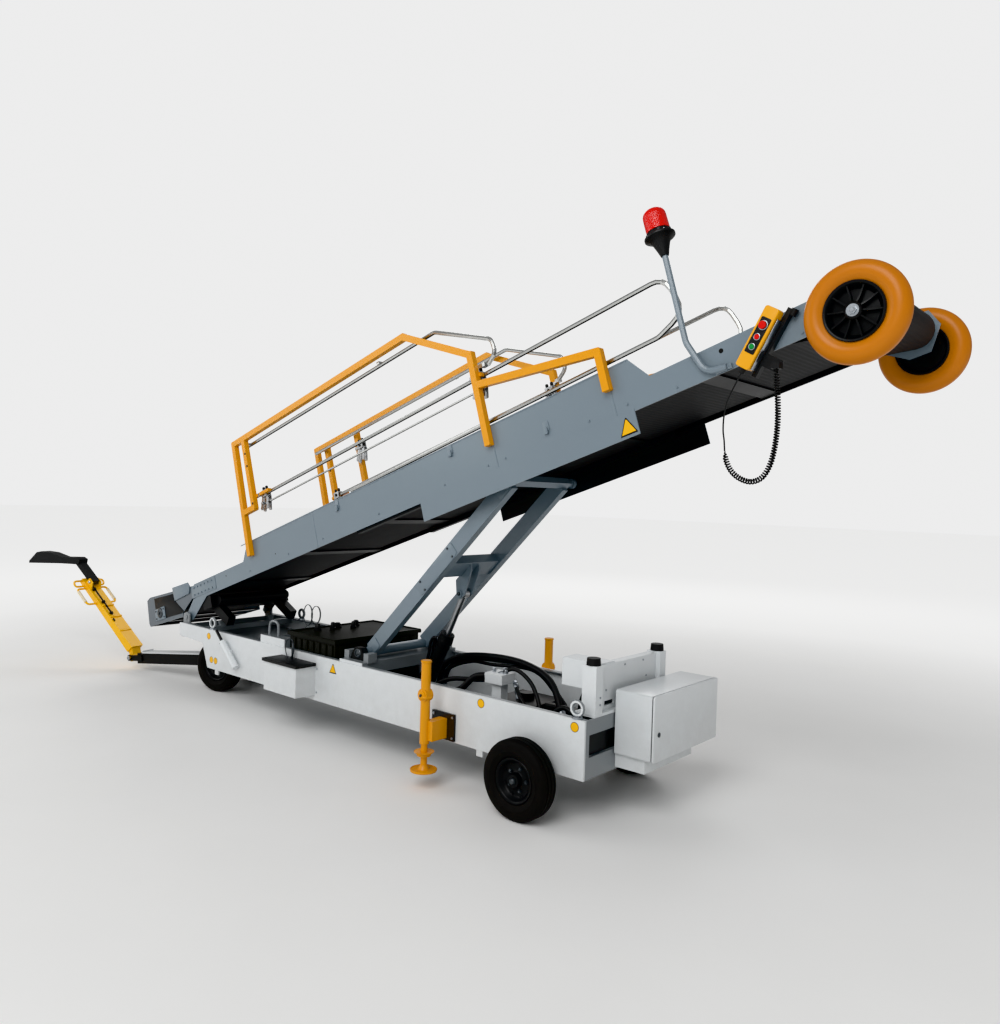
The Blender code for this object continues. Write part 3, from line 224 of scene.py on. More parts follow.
# %% Rubbers and plastics
finish["tyre_rubber"] = surface("tyre_rubber", "#0b0b0c", "#141414", 0.66, grain_mm=1.5, bump=0.25,
                                grime="#2b2926", specular=0.25, ior=1.52)
finish["buffer_rubber"] = surface("buffer_rubber", "#0e0e0f", "#181819", 0.62, grain_mm=1.2, bump=0.2, ior=1.52)
finish["cast_polyurethane"] = surface("cast_polyurethane", "#c2740c", "#a95e06", 0.40, grain_mm=5.0, bump=0.06,
                                      mix=0.5, spread=0.06, ior=1.49)
finish["spark_textured_abs"] = surface("spark_textured_abs", "#0f1011", "#1a1b1d", 0.48, grain_mm=0.9, bump=0.3,
                                       ior=1.53)
finish["yellow_abs"] = surface("yellow_abs", "#f0ab16", "#dd930c", 0.38, grain_mm=0.9, bump=0.12, ior=1.53)
finish["olive_polyethylene"] = surface("olive_polyethylene", "#0f100b", "#1f2014", 0.42, grain_mm=1.5, bump=0.2,
                                       specular=0.3, ior=1.51)
finish["soft_pvc"] = surface("soft_pvc", "#0b0b0c", "#141516", 0.38, grain_mm=0.8, bump=0.05, ior=1.53)
finish["hose_rubber"] = surface("hose_rubber", "#0c0c0d", "#161718", 0.50, grain_mm=1.0, bump=0.15, ior=1.52)
print("rubbers and plastics:", len(finish) - 6)

# %% [markdown]
# Bare metals. The inner handrails are drawn stainless tube, brushed along its length, the rollers are turned
# steel, and the small hardware is zinc plated, which looks milky and a little blue.

# %% Metals
finish["brushed_stainless"] = surface("brushed_stainless", "#c3c4c2", "#a5a6a5", 0.22, metal=1.0, grain_mm=0.8,
                                      bump=0.08, drift_mm=120.0, mix=0.5)
finish["turned_steel"] = surface("turned_steel", "#a9abad", "#85878a", 0.30, metal=1.0, grain_mm=0.8, bump=0.1)
finish["zinc_plate"] = surface("zinc_plate", "#bcc1c6", "#8f959b", 0.34, metal=1.0, grain_mm=6.0, bump=0.1,
                               drift_mm=30.0, mix=0.8)
finish["cast_alloy"] = surface("cast_alloy", "#b7babc", "#95989b", 0.45, metal=1.0, grain_mm=1.5, bump=0.3)
print("metals: 4")

# %% [markdown]
# The conveyor belt is PVC on a woven carrier, with low ribs across it every few centimetres that keep bags
# from sliding. The ribs are a wave along the boom, so the pattern is turned with it.

# %% Ribbed belt
RIB_PITCH_MM = 24.0

belt_material, tree, shader = new_material("ribbed_pvc_belt")
place = add(tree, "ShaderNodeTexCoord").outputs["Object"]
turned = add(tree, "ShaderNodeMapping", {"Rotation": (0, BOOM_TILT, 0)}, {"Vector": place})
ribs = add(tree, "ShaderNodeTexWave", {"Scale": 1000.0 / RIB_PITCH_MM / 20.0 * 6.2832, "wave_profile": "SIN"},
           {"Vector": turned.outputs[0]})
weave = add(tree, "ShaderNodeTexNoise", {"Scale": 500.0, "Detail": 3.0}, {"Vector": place})
wear = add(tree, "ShaderNodeTexNoise", {"Scale": 3.0, "Detail": 8.0, "Roughness": 0.65}, {"Vector": place})
tone = add(tree, "ShaderNodeMix", {"data_type": "RGBA", 6: linear("#0c0c0d"), 7: linear("#1c1d1f")},
           {0: wear.outputs["Fac"]})
height = add(tree, "ShaderNodeMath", {"operation": "MULTIPLY_ADD", 1: 0.1}, {0: weave.outputs["Fac"],
                                                                            2: ribs.outputs["Fac"]})
relief = add(tree, "ShaderNodeBump", {"Strength": 0.5, "Distance": 0.002}, {"Height": height.outputs[0]})
tree.links.new(tone.outputs[2], shader.inputs["Base Color"])
tree.links.new(relief.outputs[0], shader.inputs["Normal"])
shader.inputs["Roughness"].default_value = 0.62
shader.inputs["IOR"].default_value = 1.53
finish["ribbed_pvc_belt"] = belt_material
print("belt rib pitch", RIB_PITCH_MM, "mm")

# %% [markdown]
# The beacon's lens is moulded red acrylic. It lets light through and its wall shows as a darker edge, which
# some transmission gives without any lamp inside.

# %% Clear and printed finishes
lens_material, tree, shader = new_material("red_acrylic")
place = add(tree, "ShaderNodeTexCoord").outputs["Object"]
ripple = add(tree, "ShaderNodeTexNoise", {"Scale": 60.0, "Detail": 1.0}, {"Vector": place})
relief = add(tree, "ShaderNodeBump", {"Strength": 0.08, "Distance": 0.002}, {"Height": ripple.outputs["Fac"]})
tree.links.new(relief.outputs[0], shader.inputs["Normal"])
shader.inputs["Base Color"].default_value = linear("#d81509")
shader.inputs["Roughness"].default_value = 0.12
shader.inputs["IOR"].default_value = 1.49
shader.inputs["Transmission Weight"].default_value = 0.12
finish["red_acrylic"] = lens_material
finish["yellow_vinyl"] = surface("yellow_vinyl", "#f2b705", "#dfa303", 0.30, grain_mm=20.0, bump=0.02, ior=1.48)
finish["black_vinyl_and_shade"] = surface("black_vinyl_and_shade", "#151515", "#202020", 0.35, grain_mm=20.0, bump=0.02, ior=1.48)
finish["red_abs"] = surface("red_abs", "#d3160f", "#b70f0a", 0.30, grain_mm=2.0, bump=0.04, ior=1.53)
finish["green_abs"] = surface("green_abs", "#1d8a3c", "#15722f", 0.30, grain_mm=2.0, bump=0.04, ior=1.53)
finish["cream_grip"] = surface("cream_grip", "#e8dcc0", "#d3c6a6", 0.45, grain_mm=1.5, bump=0.1, ior=1.5)
print("finishes in all:", len(finish))

# %% [markdown]
# ## Finishes on the CAD parts
# Each part keeps its shape and takes one finish. Names that begin alike share a row.

# %% Dress the parts
WEARS = {
    "chassis_frame": "light_coat_shaded_well", "arm_bearing": "black_enamel_and_shade", "buffer_beam": "light_powder_coat",
    "cabinet": "light_powder_coat", "side_box": "light_powder_coat", "hand_pump_lever": "lever_coat",
    "boom_side": "blue_grey_shaded_inside", "lift_arms": "blue_grey_enamel", "tail_guard": "slate_enamel_shaded_inside",
    "beacon_pole": "blue_grey_enamel", "handrail": "amber_enamel", "jack": "amber_enamel",
    "jack_sleeve": "amber_on_black_pad",
    "drawbar": "lemon_enamel", "drawbar_link": "black_enamel_and_shade", "drawbar_cover": "light_powder_coat",
    "tow_head": "black_enamel_and_shade", "fixed_axle": "black_enamel_and_shade", "steer_axle": "black_enamel_and_shade",
    "belt_bed": "black_enamel_and_shade", "drive_housing": "black_enamel_and_shade", "lift_cylinder": "black_enamel_and_shade",
    "hydraulic_power_pack": "black_enamel_and_shade", "lift_rod": "turned_steel", "inner_rail": "brushed_stainless",
    "slide_rail": "brushed_stainless", "valve_block": "light_powder_coat", "tail_roller": "turned_steel",
    "head_roller": "turned_steel", "fixed_wheel": "tyre_rubber", "steer_wheel": "tyre_rubber",
    "buffer_cap": "buffer_rubber", "bumper": "cast_polyurethane", "belt": "ribbed_pvc_belt",
    "battery_box": "olive_polyethylene", "side_box_lid": "spark_textured_abs",
    "beacon_base": "spark_textured_abs", "beacon_lens": "red_acrylic", "pendant_holder": "spark_textured_abs",
    "pendant": "yellow_abs", "pendant_cord": "soft_pvc",
}


def dress(obj, material):
    """Gives an object one material in place of all it has."""
    obj.data.materials.clear()
    obj.data.materials.append(material)


for name, part in parts.items():
    key = max((start for start in WEARS if name.startswith(start)), key=len)
    chosen = "wheel_enamel" if name.endswith("_rim") else WEARS[key]
    dress(part, finish[chosen])
print("dressed", len(parts), "parts")

# %% [markdown]
# ## The pendant's cord
# The control hangs in its holder, and its cord drops out of the gland, turns into a springy coil and climbs
# back up to a socket under the boom. The route is the one that the model's plain tubes follow. The coil is a
# helix wound round that route by a loop, close enough that its turns almost touch.

# %% Cord helpers
CORD_LEAD = [(1.0646, -0.417, 2.1839), (1.052, -0.417, 2.161), (1.026, -0.417, 2.112), (1.003, -0.416, 2.062),
             (0.990, -0.414, 2.000), (0.988, -0.412, 1.940), (0.993, -0.410, 1.900), (0.997, -0.410, 1.8525)]
CORD_CURLY = [(0.998, -0.410, 1.8515), (1.006, -0.410, 1.812), (1.030, -0.410, 1.768), (1.070, -0.410, 1.736),
              (1.121, -0.410, 1.722), (1.168, -0.410, 1.740), (1.200, -0.410, 1.790), (1.218, -0.410, 1.860),
              (1.227, -0.410, 1.950), (1.226, -0.410, 2.040), (1.219, -0.410, 2.120), (1.214, -0.410, 2.1877)]
CORD_WIRE = 0.007                     # diameter of the cord itself
COIL_OUTER = 0.026                    # outer diameter of the curly stretch
COIL_PITCH = 0.0115                   # along the route, one turn


def smooth(points, steps):
    """More points on the smooth curve that runs through these (Catmull-Rom)."""
    knots = [Vector(point) for point in points]
    knots = [2 * knots[0] - knots[1]] + knots + [2 * knots[-1] - knots[-2]]
    path = []
    for before, start, end, after in zip(knots, knots[1:], knots[2:], knots[3:]):
        for step in range(steps):
            t = step / steps
            path.append(0.5 * (2 * start + (end - before) * t + (2 * before - 5 * start + 4 * end - after) * t ** 2
                               + (3 * start - before - 3 * end + after) * t ** 3))
    return path + [knots[-2]]


def line_length(points):
    """Length of a line through points."""
    return sum((Vector(b) - Vector(a)).length for a, b in zip(points, points[1:]))


def wire(name, points, radius, material, sides=3):
    """A round wire through points, with its ends capped."""
    curve = bpy.data.curves.new(name, "CURVE")
    curve.dimensions = "3D"
    curve.bevel_depth = radius
    curve.bevel_resolution = sides
    curve.use_fill_caps = True
    spline = curve.splines.new("POLY")
    spline.points.add(len(points) - 1)
    for knot, point in zip(spline.points, points):
        knot.co = (*point, 1)
    spline.use_smooth = True
    obj = bpy.data.objects.new(name, curve)
    bpy.context.scene.collection.objects.link(obj)
    curve.materials.append(finish[material])
    return obj


# %% Wind the cord
def along(path, distance):
    """The point and direction at a distance along a path."""
    for start, end in zip(path, path[1:]):
        step = (end - start).length
        if distance <= step:
            return start.lerp(end, distance / step), (end - start).normalized()
        distance -= step
    return path[-1], (path[-1] - path[-2]).normalized()


lead = [AXLE + point for point in smooth(CORD_LEAD, 4)]
core = [AXLE + point for point in smooth(CORD_CURLY, 6)]
reach = line_length(core)
turns = round(reach / COIL_PITCH)
winding = (COIL_OUTER - CORD_WIRE) / 2
coil = []
STEPS_A_TURN = 14
EASE_TURNS = 2.5                      # turns over which the coil opens out at each end
for step in range(turns * STEPS_A_TURN + 1):
    turned_so_far = step / STEPS_A_TURN
    centre, heading = along(core, reach * turned_so_far / turns)
    across = Vector((0, 1, 0))
    outward = heading.cross(across).normalized()
    angle = 2 * math.pi * turned_so_far
    ease = min(1.0, turned_so_far / EASE_TURNS, (turns - turned_so_far) / EASE_TURNS)
    ease = ease * ease * (3 - 2 * ease)
    coil.append(centre + winding * ease * (across * math.cos(angle) + outward * math.sin(angle)))

cord_lead = wire("cord_lead", lead, CORD_WIRE / 2, "soft_pvc")
cord_coil = wire("cord_coil", coil, CORD_WIRE / 2, "soft_pvc", 2)
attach(cord_lead, "boom")
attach(cord_coil, "boom")
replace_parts(cord_lead, "pendant_cord_lead")
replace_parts(cord_coil, "pendant_cord_curly")
print("lead %.3f m, coil %.2f m of wire in %d turns" % (line_length(lead), line_length(coil), turns))

# %% [markdown]
# ## Building trim
# Trim is built from three shapes: a block with softened edges, a turned shape, and a plate cut to an outline.
# They are added to one mesh in place, in the machine's own frame or the boom's, and the whole mesh then
# becomes one piece that rides on its body. Softened edges catch a thin line of light, as real ones do.

# %% Shape helpers
def frame_at(origin, along_x=(1, 0, 0), upward=(0, 0, 1)):
    """A frame with its origin at a point, its x axis along one direction and its z axis near another."""
    x_axis = Vector(along_x).normalized()
    y_axis = Vector(upward).cross(x_axis).normalized()
    z_axis = x_axis.cross(y_axis)
    turn = Matrix((x_axis, y_axis, z_axis)).transposed().to_4x4()
    return Matrix.Translation(origin) @ turn


def add_block(mesh, x, y, z, at=GROUND):
    """A box over three ranges, in the frame at."""
    size = [max(pair) - min(pair) for pair in (x, y, z)]
    middle = [(pair[0] + pair[1]) / 2 for pair in (x, y, z)]
    bmesh.ops.create_cube(mesh, size=1.0, matrix=at @ Matrix.Translation(middle) @ Matrix.Diagonal((*size, 1)))


def add_turned(mesh, profile, at, steps=32, closed=False):
    """A profile of (radius, height) points turned about the frame's z axis."""
    rings = []
    for radius, height in profile:
        if radius < 1e-6:
            rings.append([mesh.verts.new(at @ Vector((0, 0, height)))])
        else:
            rings.append([mesh.verts.new(at @ Vector((radius * math.cos(2 * math.pi * step / steps),
                                                      radius * math.sin(2 * math.pi * step / steps), height)))
                          for step in range(steps)])
    pairs = list(zip(rings, rings[1:])) + ([(rings[-1], rings[0])] if closed else [])
    for lower, upper in pairs:
        for step in range(steps):
            after = (step + 1) % steps
            if len(lower) == 1 and len(upper) == 1:
                continue
            if len(lower) == 1:
                mesh.faces.new((lower[0], upper[after], upper[step]))
            elif len(upper) == 1:
                mesh.faces.new((lower[step], lower[after], upper[0]))
            else:
                mesh.faces.new((lower[step], lower[after], upper[after], upper[step]))


def add_plate(mesh, outline, low, high, at):
    """A flat outline of (x, z) points, thick from low to high along the frame's y axis."""
    sides = [[mesh.verts.new(at @ Vector((x, y, z))) for x, z in outline] for y in (low, high)]
    mesh.faces.new(sides[0])
    mesh.faces.new(sides[1][::-1])
    count = len(outline)
    for index in range(count):
        after = (index + 1) % count
        mesh.faces.new((sides[0][index], sides[1][index], sides[1][after], sides[0][after]))


def rounded_outline(x, z, radius, steps=5):
    """Corner points of a rectangle with round corners."""
    points = []
    corners = ((x[1] - radius, z[1] - radius, 0), (x[0] + radius, z[1] - radius, 90),
               (x[0] + radius, z[0] + radius, 180), (x[1] - radius, z[0] + radius, 270))
    for centre_x, centre_z, first in corners:
        for step in range(steps + 1):
            angle = math.radians(first + 90 * step / steps)
            points.append((centre_x + radius * math.cos(angle), centre_z + radius * math.sin(angle)))
    return points


def add_bolt(mesh, at, across=0.016):
    """A washer and a hexagon head on the frame's z axis."""
    add_turned(mesh, [(0, 0), (across * 0.62, 0), (across * 0.62, 0.0018), (0, 0.0018)], at, 20)
    add_turned(mesh, [(0, 0.0018), (across * 0.5, 0.0018), (across * 0.5, across * 0.42),
                      (across * 0.42, across * 0.5), (0, across * 0.5)], at, 6)


def finish_piece(name, mesh, material, body, soften=0.0, corner=35):
    """The mesh as one object with softened edges, smooth where it is round, riding on its body."""
    bmesh.ops.recalc_face_normals(mesh, faces=mesh.faces)
    if soften:
        edges = [edge for edge in mesh.edges if edge.is_manifold and edge.calc_face_angle(0) > math.radians(corner)]
        bmesh.ops.bevel(mesh, geom=edges, offset=soften, segments=2, profile=0.6, affect="EDGES",
                        clamp_overlap=True)
    data = bpy.data.meshes.new(name)
    mesh.to_mesh(data)
    mesh.free()
    data.shade_smooth()
    data.set_sharp_from_angle(angle=math.radians(corner))
    data.materials.append(finish[material])
    piece = bpy.data.objects.new(name, data)
    bpy.context.scene.collection.objects.link(piece)
    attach(piece, body)
    return piece


def turn_to(origin, direction):
    """A frame whose z axis looks along a direction."""
    aim = Vector(direction).normalized().to_track_quat("Z", "Y").to_matrix().to_4x4()
    return Matrix.Translation(origin) @ aim


def near(x, y, z):
    """A point from the axle's frame."""
    return AXLE + Vector((x, y, z))


def on_boom(a, y, b):
    """A point from the boom's frame."""
    return BOOM @ Vector((a, y, b))


OUT_RIGHT, OUT_LEFT = Vector((0, -1, 0)), Vector((0, 1, 0))
BOOM_UP = BOOM.to_3x3() @ Vector((0, 0, 1))
BOOM_ALONG = BOOM.to_3x3() @ Vector((1, 0, 0))
print("boom runs along", [round(value, 3) for value in BOOM_ALONG])

# %% [markdown]
# ## Road wheels
# A solid rubber tyre on a pressed steel disc. The tyre has rounded shoulders, three grooves round its tread
# and thin rings on its wall. The disc has a deep dish, round windows near its edge, five nuts and a cap.
# All of it is turned from profiles with many more steps than the plain solids have.

# %% Road wheels
TYRE_PROFILE = [(0.1176, -0.044), (0.124, -0.051), (0.146, -0.0575), (0.150, -0.0595), (0.153, -0.0575),
                (0.166, -0.0600), (0.186, -0.0560), (0.197, -0.0490), (0.2035, -0.0390), (0.2055, -0.0300),
                (0.2060, -0.0290), (0.2000, -0.0275), (0.2000, -0.0245), (0.2060, -0.0230), (0.2060, -0.0030),
                (0.2000, -0.0018)]
TYRE_PROFILE += [(radius, -height) for radius, height in reversed(TYRE_PROFILE)]


def wheel_frame(joint, side):
    """The hub's frame, with z looking outwards from the machine."""
    spin = Vector(joints[joint]["axis"]).normalized()
    return turn_to(joints[joint]["pos_m"], spin * (1 if spin.y * side > 0 else -1))


def road_wheel(kind, name, side):
    """Tyre, disc, nuts and cap of one wheel, in place of its plain solids."""
    body = "%s_wheel_%s" % (kind, name)
    hub = wheel_frame(body + "_spin", side)
    tyre = bmesh.new()
    add_turned(tyre, TYRE_PROFILE, hub, 96, True)
    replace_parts(finish_piece(body + "_rubber", tyre, "tyre_rubber", body, corner=50), body + "_tyre")
    disc = bmesh.new()
    add_turned(disc, [(0.0150, 0.050), (0.033, 0.050), (0.036, 0.046), (0.038, 0.020), (0.046, 0.014),
                      (0.080, 0.012), (0.092, 0.020), (0.100, 0.041), (0.106, 0.047), (0.1145, 0.0485),
                      (0.1172, 0.046), (0.1172, -0.046), (0.112, -0.048), (0.100, -0.040), (0.096, 0.006),
                      (0.080, 0.002), (0.0150, 0.002)], hub, 96, True)
    for window in range(8):
        spot = hub @ Matrix.Rotation(math.radians(45 * window + 22), 4, "Z") @ Matrix.Translation((0.087, 0, 0.0165))
        add_turned(disc, [(0.0085, 0.0), (0.0105, 0.0), (0.0105, 0.0025), (0.0085, 0.0025)], spot, 20, True)
    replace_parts(finish_piece(body + "_disc", disc, "wheel_enamel", body, corner=40), body + "_rim")
    nuts = bmesh.new()
    for nut in range(5):
        add_bolt(nuts, hub @ Matrix.Rotation(math.radians(72 * nut), 4, "Z") @ Matrix.Translation((0.058, 0, 0.0135)),
                 0.017)
    add_turned(nuts, [(0, 0.062), (0.012, 0.062), (0.016, 0.058), (0.018, 0.050), (0, 0.050)], hub, 32)
    finish_piece(body + "_nuts", nuts, "dull_zinc", body)


finish["dull_zinc"] = surface("dull_zinc", "#6f7376", "#4b4e50", 0.42, metal=1.0, grain_mm=4.0, bump=0.1,
                              drift_mm=20.0, mix=0.8)
for kind in ("fixed", "steer"):
    for name, side in (("right", -1), ("left", 1)):
        road_wheel(kind, name, side)
print("road wheels: 4")

# %% [markdown]
# ## Bumper wheels
# The boom's end touches the aircraft with two big soft wheels, cast in orange polyurethane over a black
# moulded centre. The tyre is a plump ring and the centre has radial ribs.

# %% Bumper wheels
def bumper_wheel(name, side):
    """Soft ring and ribbed centre of one bumper wheel."""
    body = "bumper_" + name
    hub = wheel_frame(body + "_spin", side)
    ring = []
    for step in range(33):
        angle = math.radians(-128 + 256 * step / 32)
        ring.append((0.1555 + 0.0445 * math.cos(angle), 0.0448 * math.sin(angle)))
    ring = [(0.1175, -0.030)] + ring + [(0.1175, 0.030)]
    tyre = bmesh.new()
    add_turned(tyre, ring, hub, 112, True)
    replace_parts(finish_piece(body + "_soft_ring", tyre, "cast_polyurethane", body, corner=50), body + "_tyre")
    centre = bmesh.new()
    add_turned(centre, [(0.0128, 0.048), (0.030, 0.048), (0.034, 0.044), (0.036, 0.010), (0.088, 0.006),
                        (0.096, 0.012), (0.104, 0.034), (0.109, 0.038), (0.1168, 0.038), (0.1168, -0.038),
                        (0.109, -0.038), (0.100, -0.030), (0.094, -0.004), (0.0128, -0.006)], hub, 96, True)
    for rib in range(10):
        turned_hub = hub @ Matrix.Rotation(math.radians(36 * rib), 4, "Z")
        add_plate(centre, [(0.033, 0.008), (0.033, 0.040), (0.060, 0.030), (0.103, 0.030), (0.100, 0.008)],
                  -0.0035, 0.0035, turned_hub)
    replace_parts(finish_piece(body + "_centre", centre, "wheel_enamel", body, corner=40), body + "_rim")
    cap = bmesh.new()
    add_turned(cap, [(0, 0.0585), (0.008, 0.0585), (0.0095, 0.056), (0.0095, 0.050), (0.024, 0.050),
                     (0.0245, 0.0485), (0, 0.0485)], hub, 32)
    add_turned(cap, [(0.010, 0.050), (0.0165, 0.050), (0.0165, 0.056), (0.010, 0.056)], hub, 6, True)
    finish_piece(body + "_nut", cap, "zinc_plate", body)


for name, side in (("right", -1), ("left", 1)):
    bumper_wheel(name, side)
print("bumper wheels: 2")

# %% [markdown]
# ## Stickers and marks
# Blank signs: yellow triangles with a dark edge, and small yellow discs at the tie-down and lifting points.
# Each is a thin skin of vinyl, a few tenths of a millimetre proud of the paint.

# %% Signs
VINYL = 0.0006                         # how far a sign stands off the paint


def warning_triangle(name, centre, half, along_x, upward, outward, body):
    """A blank yellow triangle inside a dark edge."""
    spot = frame_at(centre, along_x, upward)
    away = 1 if outward.y > 0 else -1
    for part, size, proud, material in (("edge", half, VINYL, "black_vinyl_and_shade"),
                                        ("face", half * 0.80, 2 * VINYL, "yellow_vinyl")):
        mesh = bmesh.new()
        outline = [(-size, -size * 0.80), (size, -size * 0.80), (size * 0.10, size * 0.86), (0, size * 0.93),
                   (-size * 0.10, size * 0.86)]
        add_plate(mesh, outline, 0.0001 * away, proud * away, spot)
        finish_piece("%s_%s" % (name, part), mesh, material, body)


warning_triangle("chassis_sign", near(-1.646, -PLATE_SIDE, 0.486), 0.036, (1, 0, 0), (0, 0, 1), OUT_RIGHT, "chassis")
warning_triangle("boom_sign_right", on_boom(4.303, -BOOM_SIDE - 0.0025, 0.045), 0.050, BOOM_ALONG, BOOM_UP,
                 OUT_RIGHT, "boom")
warning_triangle("boom_sign_left", on_boom(4.303, BOOM_SIDE + 0.0025, 0.045), 0.050, BOOM_ALONG, BOOM_UP,
                 OUT_LEFT, "boom")
discs = bmesh.new()
rims = bmesh.new()
for x, z in ((-3.177, 0.493), (-3.132, 0.318), (-3.072, 0.318), (-0.357, 0.506), (0.266, 0.506)):
    for side, outward in ((-1, OUT_RIGHT), (1, OUT_LEFT)):
        spot = turn_to(near(x, side * PLATE_SIDE, z), outward)
        add_turned(discs, [(0, 0.0001), (0.0225, 0.0001), (0.0225, VINYL), (0, VINYL)], spot, 32)
        add_turned(rims, [(0.0226, 0.0001), (0.0250, 0.0001), (0.0250, VINYL), (0.0226, VINYL)], spot, 32, True)
finish_piece("point_marks", discs, "yellow_vinyl", "chassis")
finish_piece("point_mark_rims", rims, "black_vinyl_and_shade", "chassis")
print("signs done")

# %% [markdown]
# ## Electrical cabinet
# A folded steel cabinet with rolled corners and a door that laps over its front. The shell and the door are
# extrusions of a rounded outline, so the corners shine softly along their whole length. A dark gasket shows
# in the gap between them, and the lock is a small turned barrel with a slot.

# %% Cabinet
shell_low, shell_high = (Vector(corner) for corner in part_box("cabinet_body"))
door_low, door_high = (Vector(corner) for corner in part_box("cabinet_door"))
CABINET_EDGE = 0.014                   # radius of the rolled corners


body_outline = rounded_outline((door_low.y, door_high.y), (door_low.z, door_high.z), CABINET_EDGE)
shell_front = door_low.x - 0.0010
shell_back = near(0.3333, 0, 0).x
shell = bmesh.new()
QUARTER = Matrix.Rotation(math.radians(90), 4, "Z")


def add_tray(mesh, outer, inner, back, front, wall):
    """A box open towards +x: outlines of (y, z) points for its outside and inside, and its wall."""
    levels = ((outer, back), (outer, front), (inner, front), (inner, back + wall))
    rings = [[mesh.verts.new((x, y, z)) for y, z in outline] for outline, x in levels]
    mesh.faces.new(rings[0])
    mesh.faces.new(rings[-1][::-1])
    for lower, upper in zip(rings, rings[1:]):
        for index in range(len(lower)):
            after = (index + 1) % len(lower)
            mesh.faces.new((lower[index], lower[after], upper[after], upper[index]))


inner_outline = rounded_outline((door_low.y + 0.004, door_high.y - 0.004), (door_low.z + 0.004, door_high.z - 0.004),
                                CABINET_EDGE - 0.004)
add_tray(shell, body_outline, inner_outline, shell_back, shell_front, 0.004)
mount_low, mount_high = near(0.3275, -0.148, 0.2625), near(0.500, 0.340, 0.3335)
add_block(shell, (mount_low.x, mount_high.x), (mount_low.y, mount_high.y), (mount_low.z, mount_high.z), Matrix())
for y in (-0.10, 0.36):
    foot = near(0.3305, y, 0.44)
    add_block(shell, (foot.x - 0.003, foot.x + 0.004), (foot.y - 0.03, foot.y + 0.03), (0.36, 0.52), Matrix())
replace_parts(finish_piece("cabinet_shell", shell, "light_powder_coat", "chassis", corner=40), "cabinet_body")

gasket = bmesh.new()
seal_outline = rounded_outline((door_low.y + 0.004, door_high.y - 0.004), (door_low.z + 0.004, door_high.z - 0.004),
                               CABINET_EDGE)
add_plate(gasket, seal_outline, -(door_low.x + 0.004), -(door_low.x - 0.0005), QUARTER)
finish_piece("cabinet_gasket", gasket, "buffer_rubber", "cabinet_door")
door = bmesh.new()
door_face = door_low.x + 0.0137
add_plate(door, body_outline, -door_face, -(door_low.x + 0.003), QUARTER)
cabinet_skin = finish_piece("cabinet_door_skin", door, "light_powder_coat", "cabinet_door", soften=0.004, corner=60)
lock = bmesh.new()
lock_at = turn_to((door_face, door_low.y + 0.05, (door_low.z + door_high.z) / 2 - 0.03), (1, 0, 0))
add_turned(lock, [(0, 0.0045), (0.0085, 0.0045), (0.010, 0.0035), (0.0125, 0.0030), (0.0125, -0.002), (0, -0.002)],
           lock_at, 32)
add_block(lock, (-0.0012, 0.0012), (-0.0055, 0.0055), (0.0040, 0.0058), lock_at)
cabinet_lock = finish_piece("cabinet_lock", lock, "dull_zinc", "cabinet_door")
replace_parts(cabinet_skin, "cabinet_door")
print("cabinet %.3f m wide, corners %.0f mm" % (door_high.y - door_low.y, CABINET_EDGE * 1000))

# %% [markdown]
# ## Boom hardware
# The side panels are several sheets bolted end to end. A narrow joint strip covers each seam, hexagon bolts
# hold the splice plate near the pivot, and small folded catches stand near the top edge. They are gathered
# in one mesh for each finish, on both sides of the boom.

# %% Seams, bolts and catches
SEAMS = (1.790, 3.465, 4.255)          # along the boom
strips = bmesh.new()
bolts = bmesh.new()
catches = bmesh.new()
for side, outward in ((-1, OUT_RIGHT), (1, OUT_LEFT)):
    face = side * BOOM_SIDE
    for seam in SEAMS:
        add_block(strips, (seam - 0.007, seam + 0.007), (face, face + side * 0.0016), (0.112, 0.352), BOOM)
    add_block(strips, (0.085, 0.460), (face, face + side * 0.0030), (0.128, 0.228), BOOM)
    add_block(strips, (0.882, 4.380), (face, face + side * 0.0025), (0.3535, 0.3600), BOOM)
    for a, b in [(0.13 + 0.055 * index, row) for index in range(6) for row in (0.150, 0.208)]:
        add_bolt(bolts, turn_to(on_boom(a, face + side * 0.003, b), outward), 0.013)
    for a in (0.95, 1.45, 1.86, 2.45, 3.05, 3.40, 3.53, 4.10, 4.33):
        add_bolt(bolts, turn_to(on_boom(a, face, 0.150), outward), 0.010)
    for a in (4.60, 4.95, 5.20):
        add_bolt(bolts, turn_to(on_boom(a, face, 0.128), outward), 0.010)
    for a, b in ((2.066, 0.323), (3.146, 0.330), (3.837, 0.216)):
        spot = frame_at(on_boom(a, face, b), BOOM_ALONG, BOOM_UP)
        away = side
        add_plate(catches, rounded_outline((-0.020, 0.020), (-0.026, 0.030), 0.010), 0.0002 * away, 0.004 * away,
                  spot)
        add_plate(catches, rounded_outline((-0.012, 0.012), (-0.040, -0.004), 0.006), 0.004 * away, 0.014 * away,
                  spot)
finish_piece("boom_strips", strips, "blue_grey_enamel", "boom", soften=0.0006)
finish_piece("boom_bolts", bolts, "blue_grey_enamel", "boom")
finish_piece("boom_catches", catches, "blue_grey_enamel", "boom", soften=0.001)
# Black discs on the right boom side stand for holes: painted shade, not cut openings.
holes = bmesh.new()
for a, b, radius in ((4.846, 0.202, 0.011), (0.62, 0.19, 0.006), (1.30, 0.19, 0.005)):
    add_turned(holes, [(0, 0.0001), (radius, 0.0001), (radius, 0.0004), (0, 0.0004)],
               turn_to(on_boom(a, -BOOM_SIDE, b), OUT_RIGHT), 24)
finish_piece("boom_hole_shade", holes, "black_vinyl_and_shade", "boom")
print("seams", SEAMS)

# %% [markdown]
# ## Handrail fittings
# Each pull-out rail is held by a clamp of pressed aluminium: a block round the tube, a black knob above it and
# two lever plates that hang below. Black plastic plugs close the screw holes of the short posts.

# %% Rail clamps and plugs
clamps = bmesh.new()
knobs = bmesh.new()
plugs = bmesh.new()


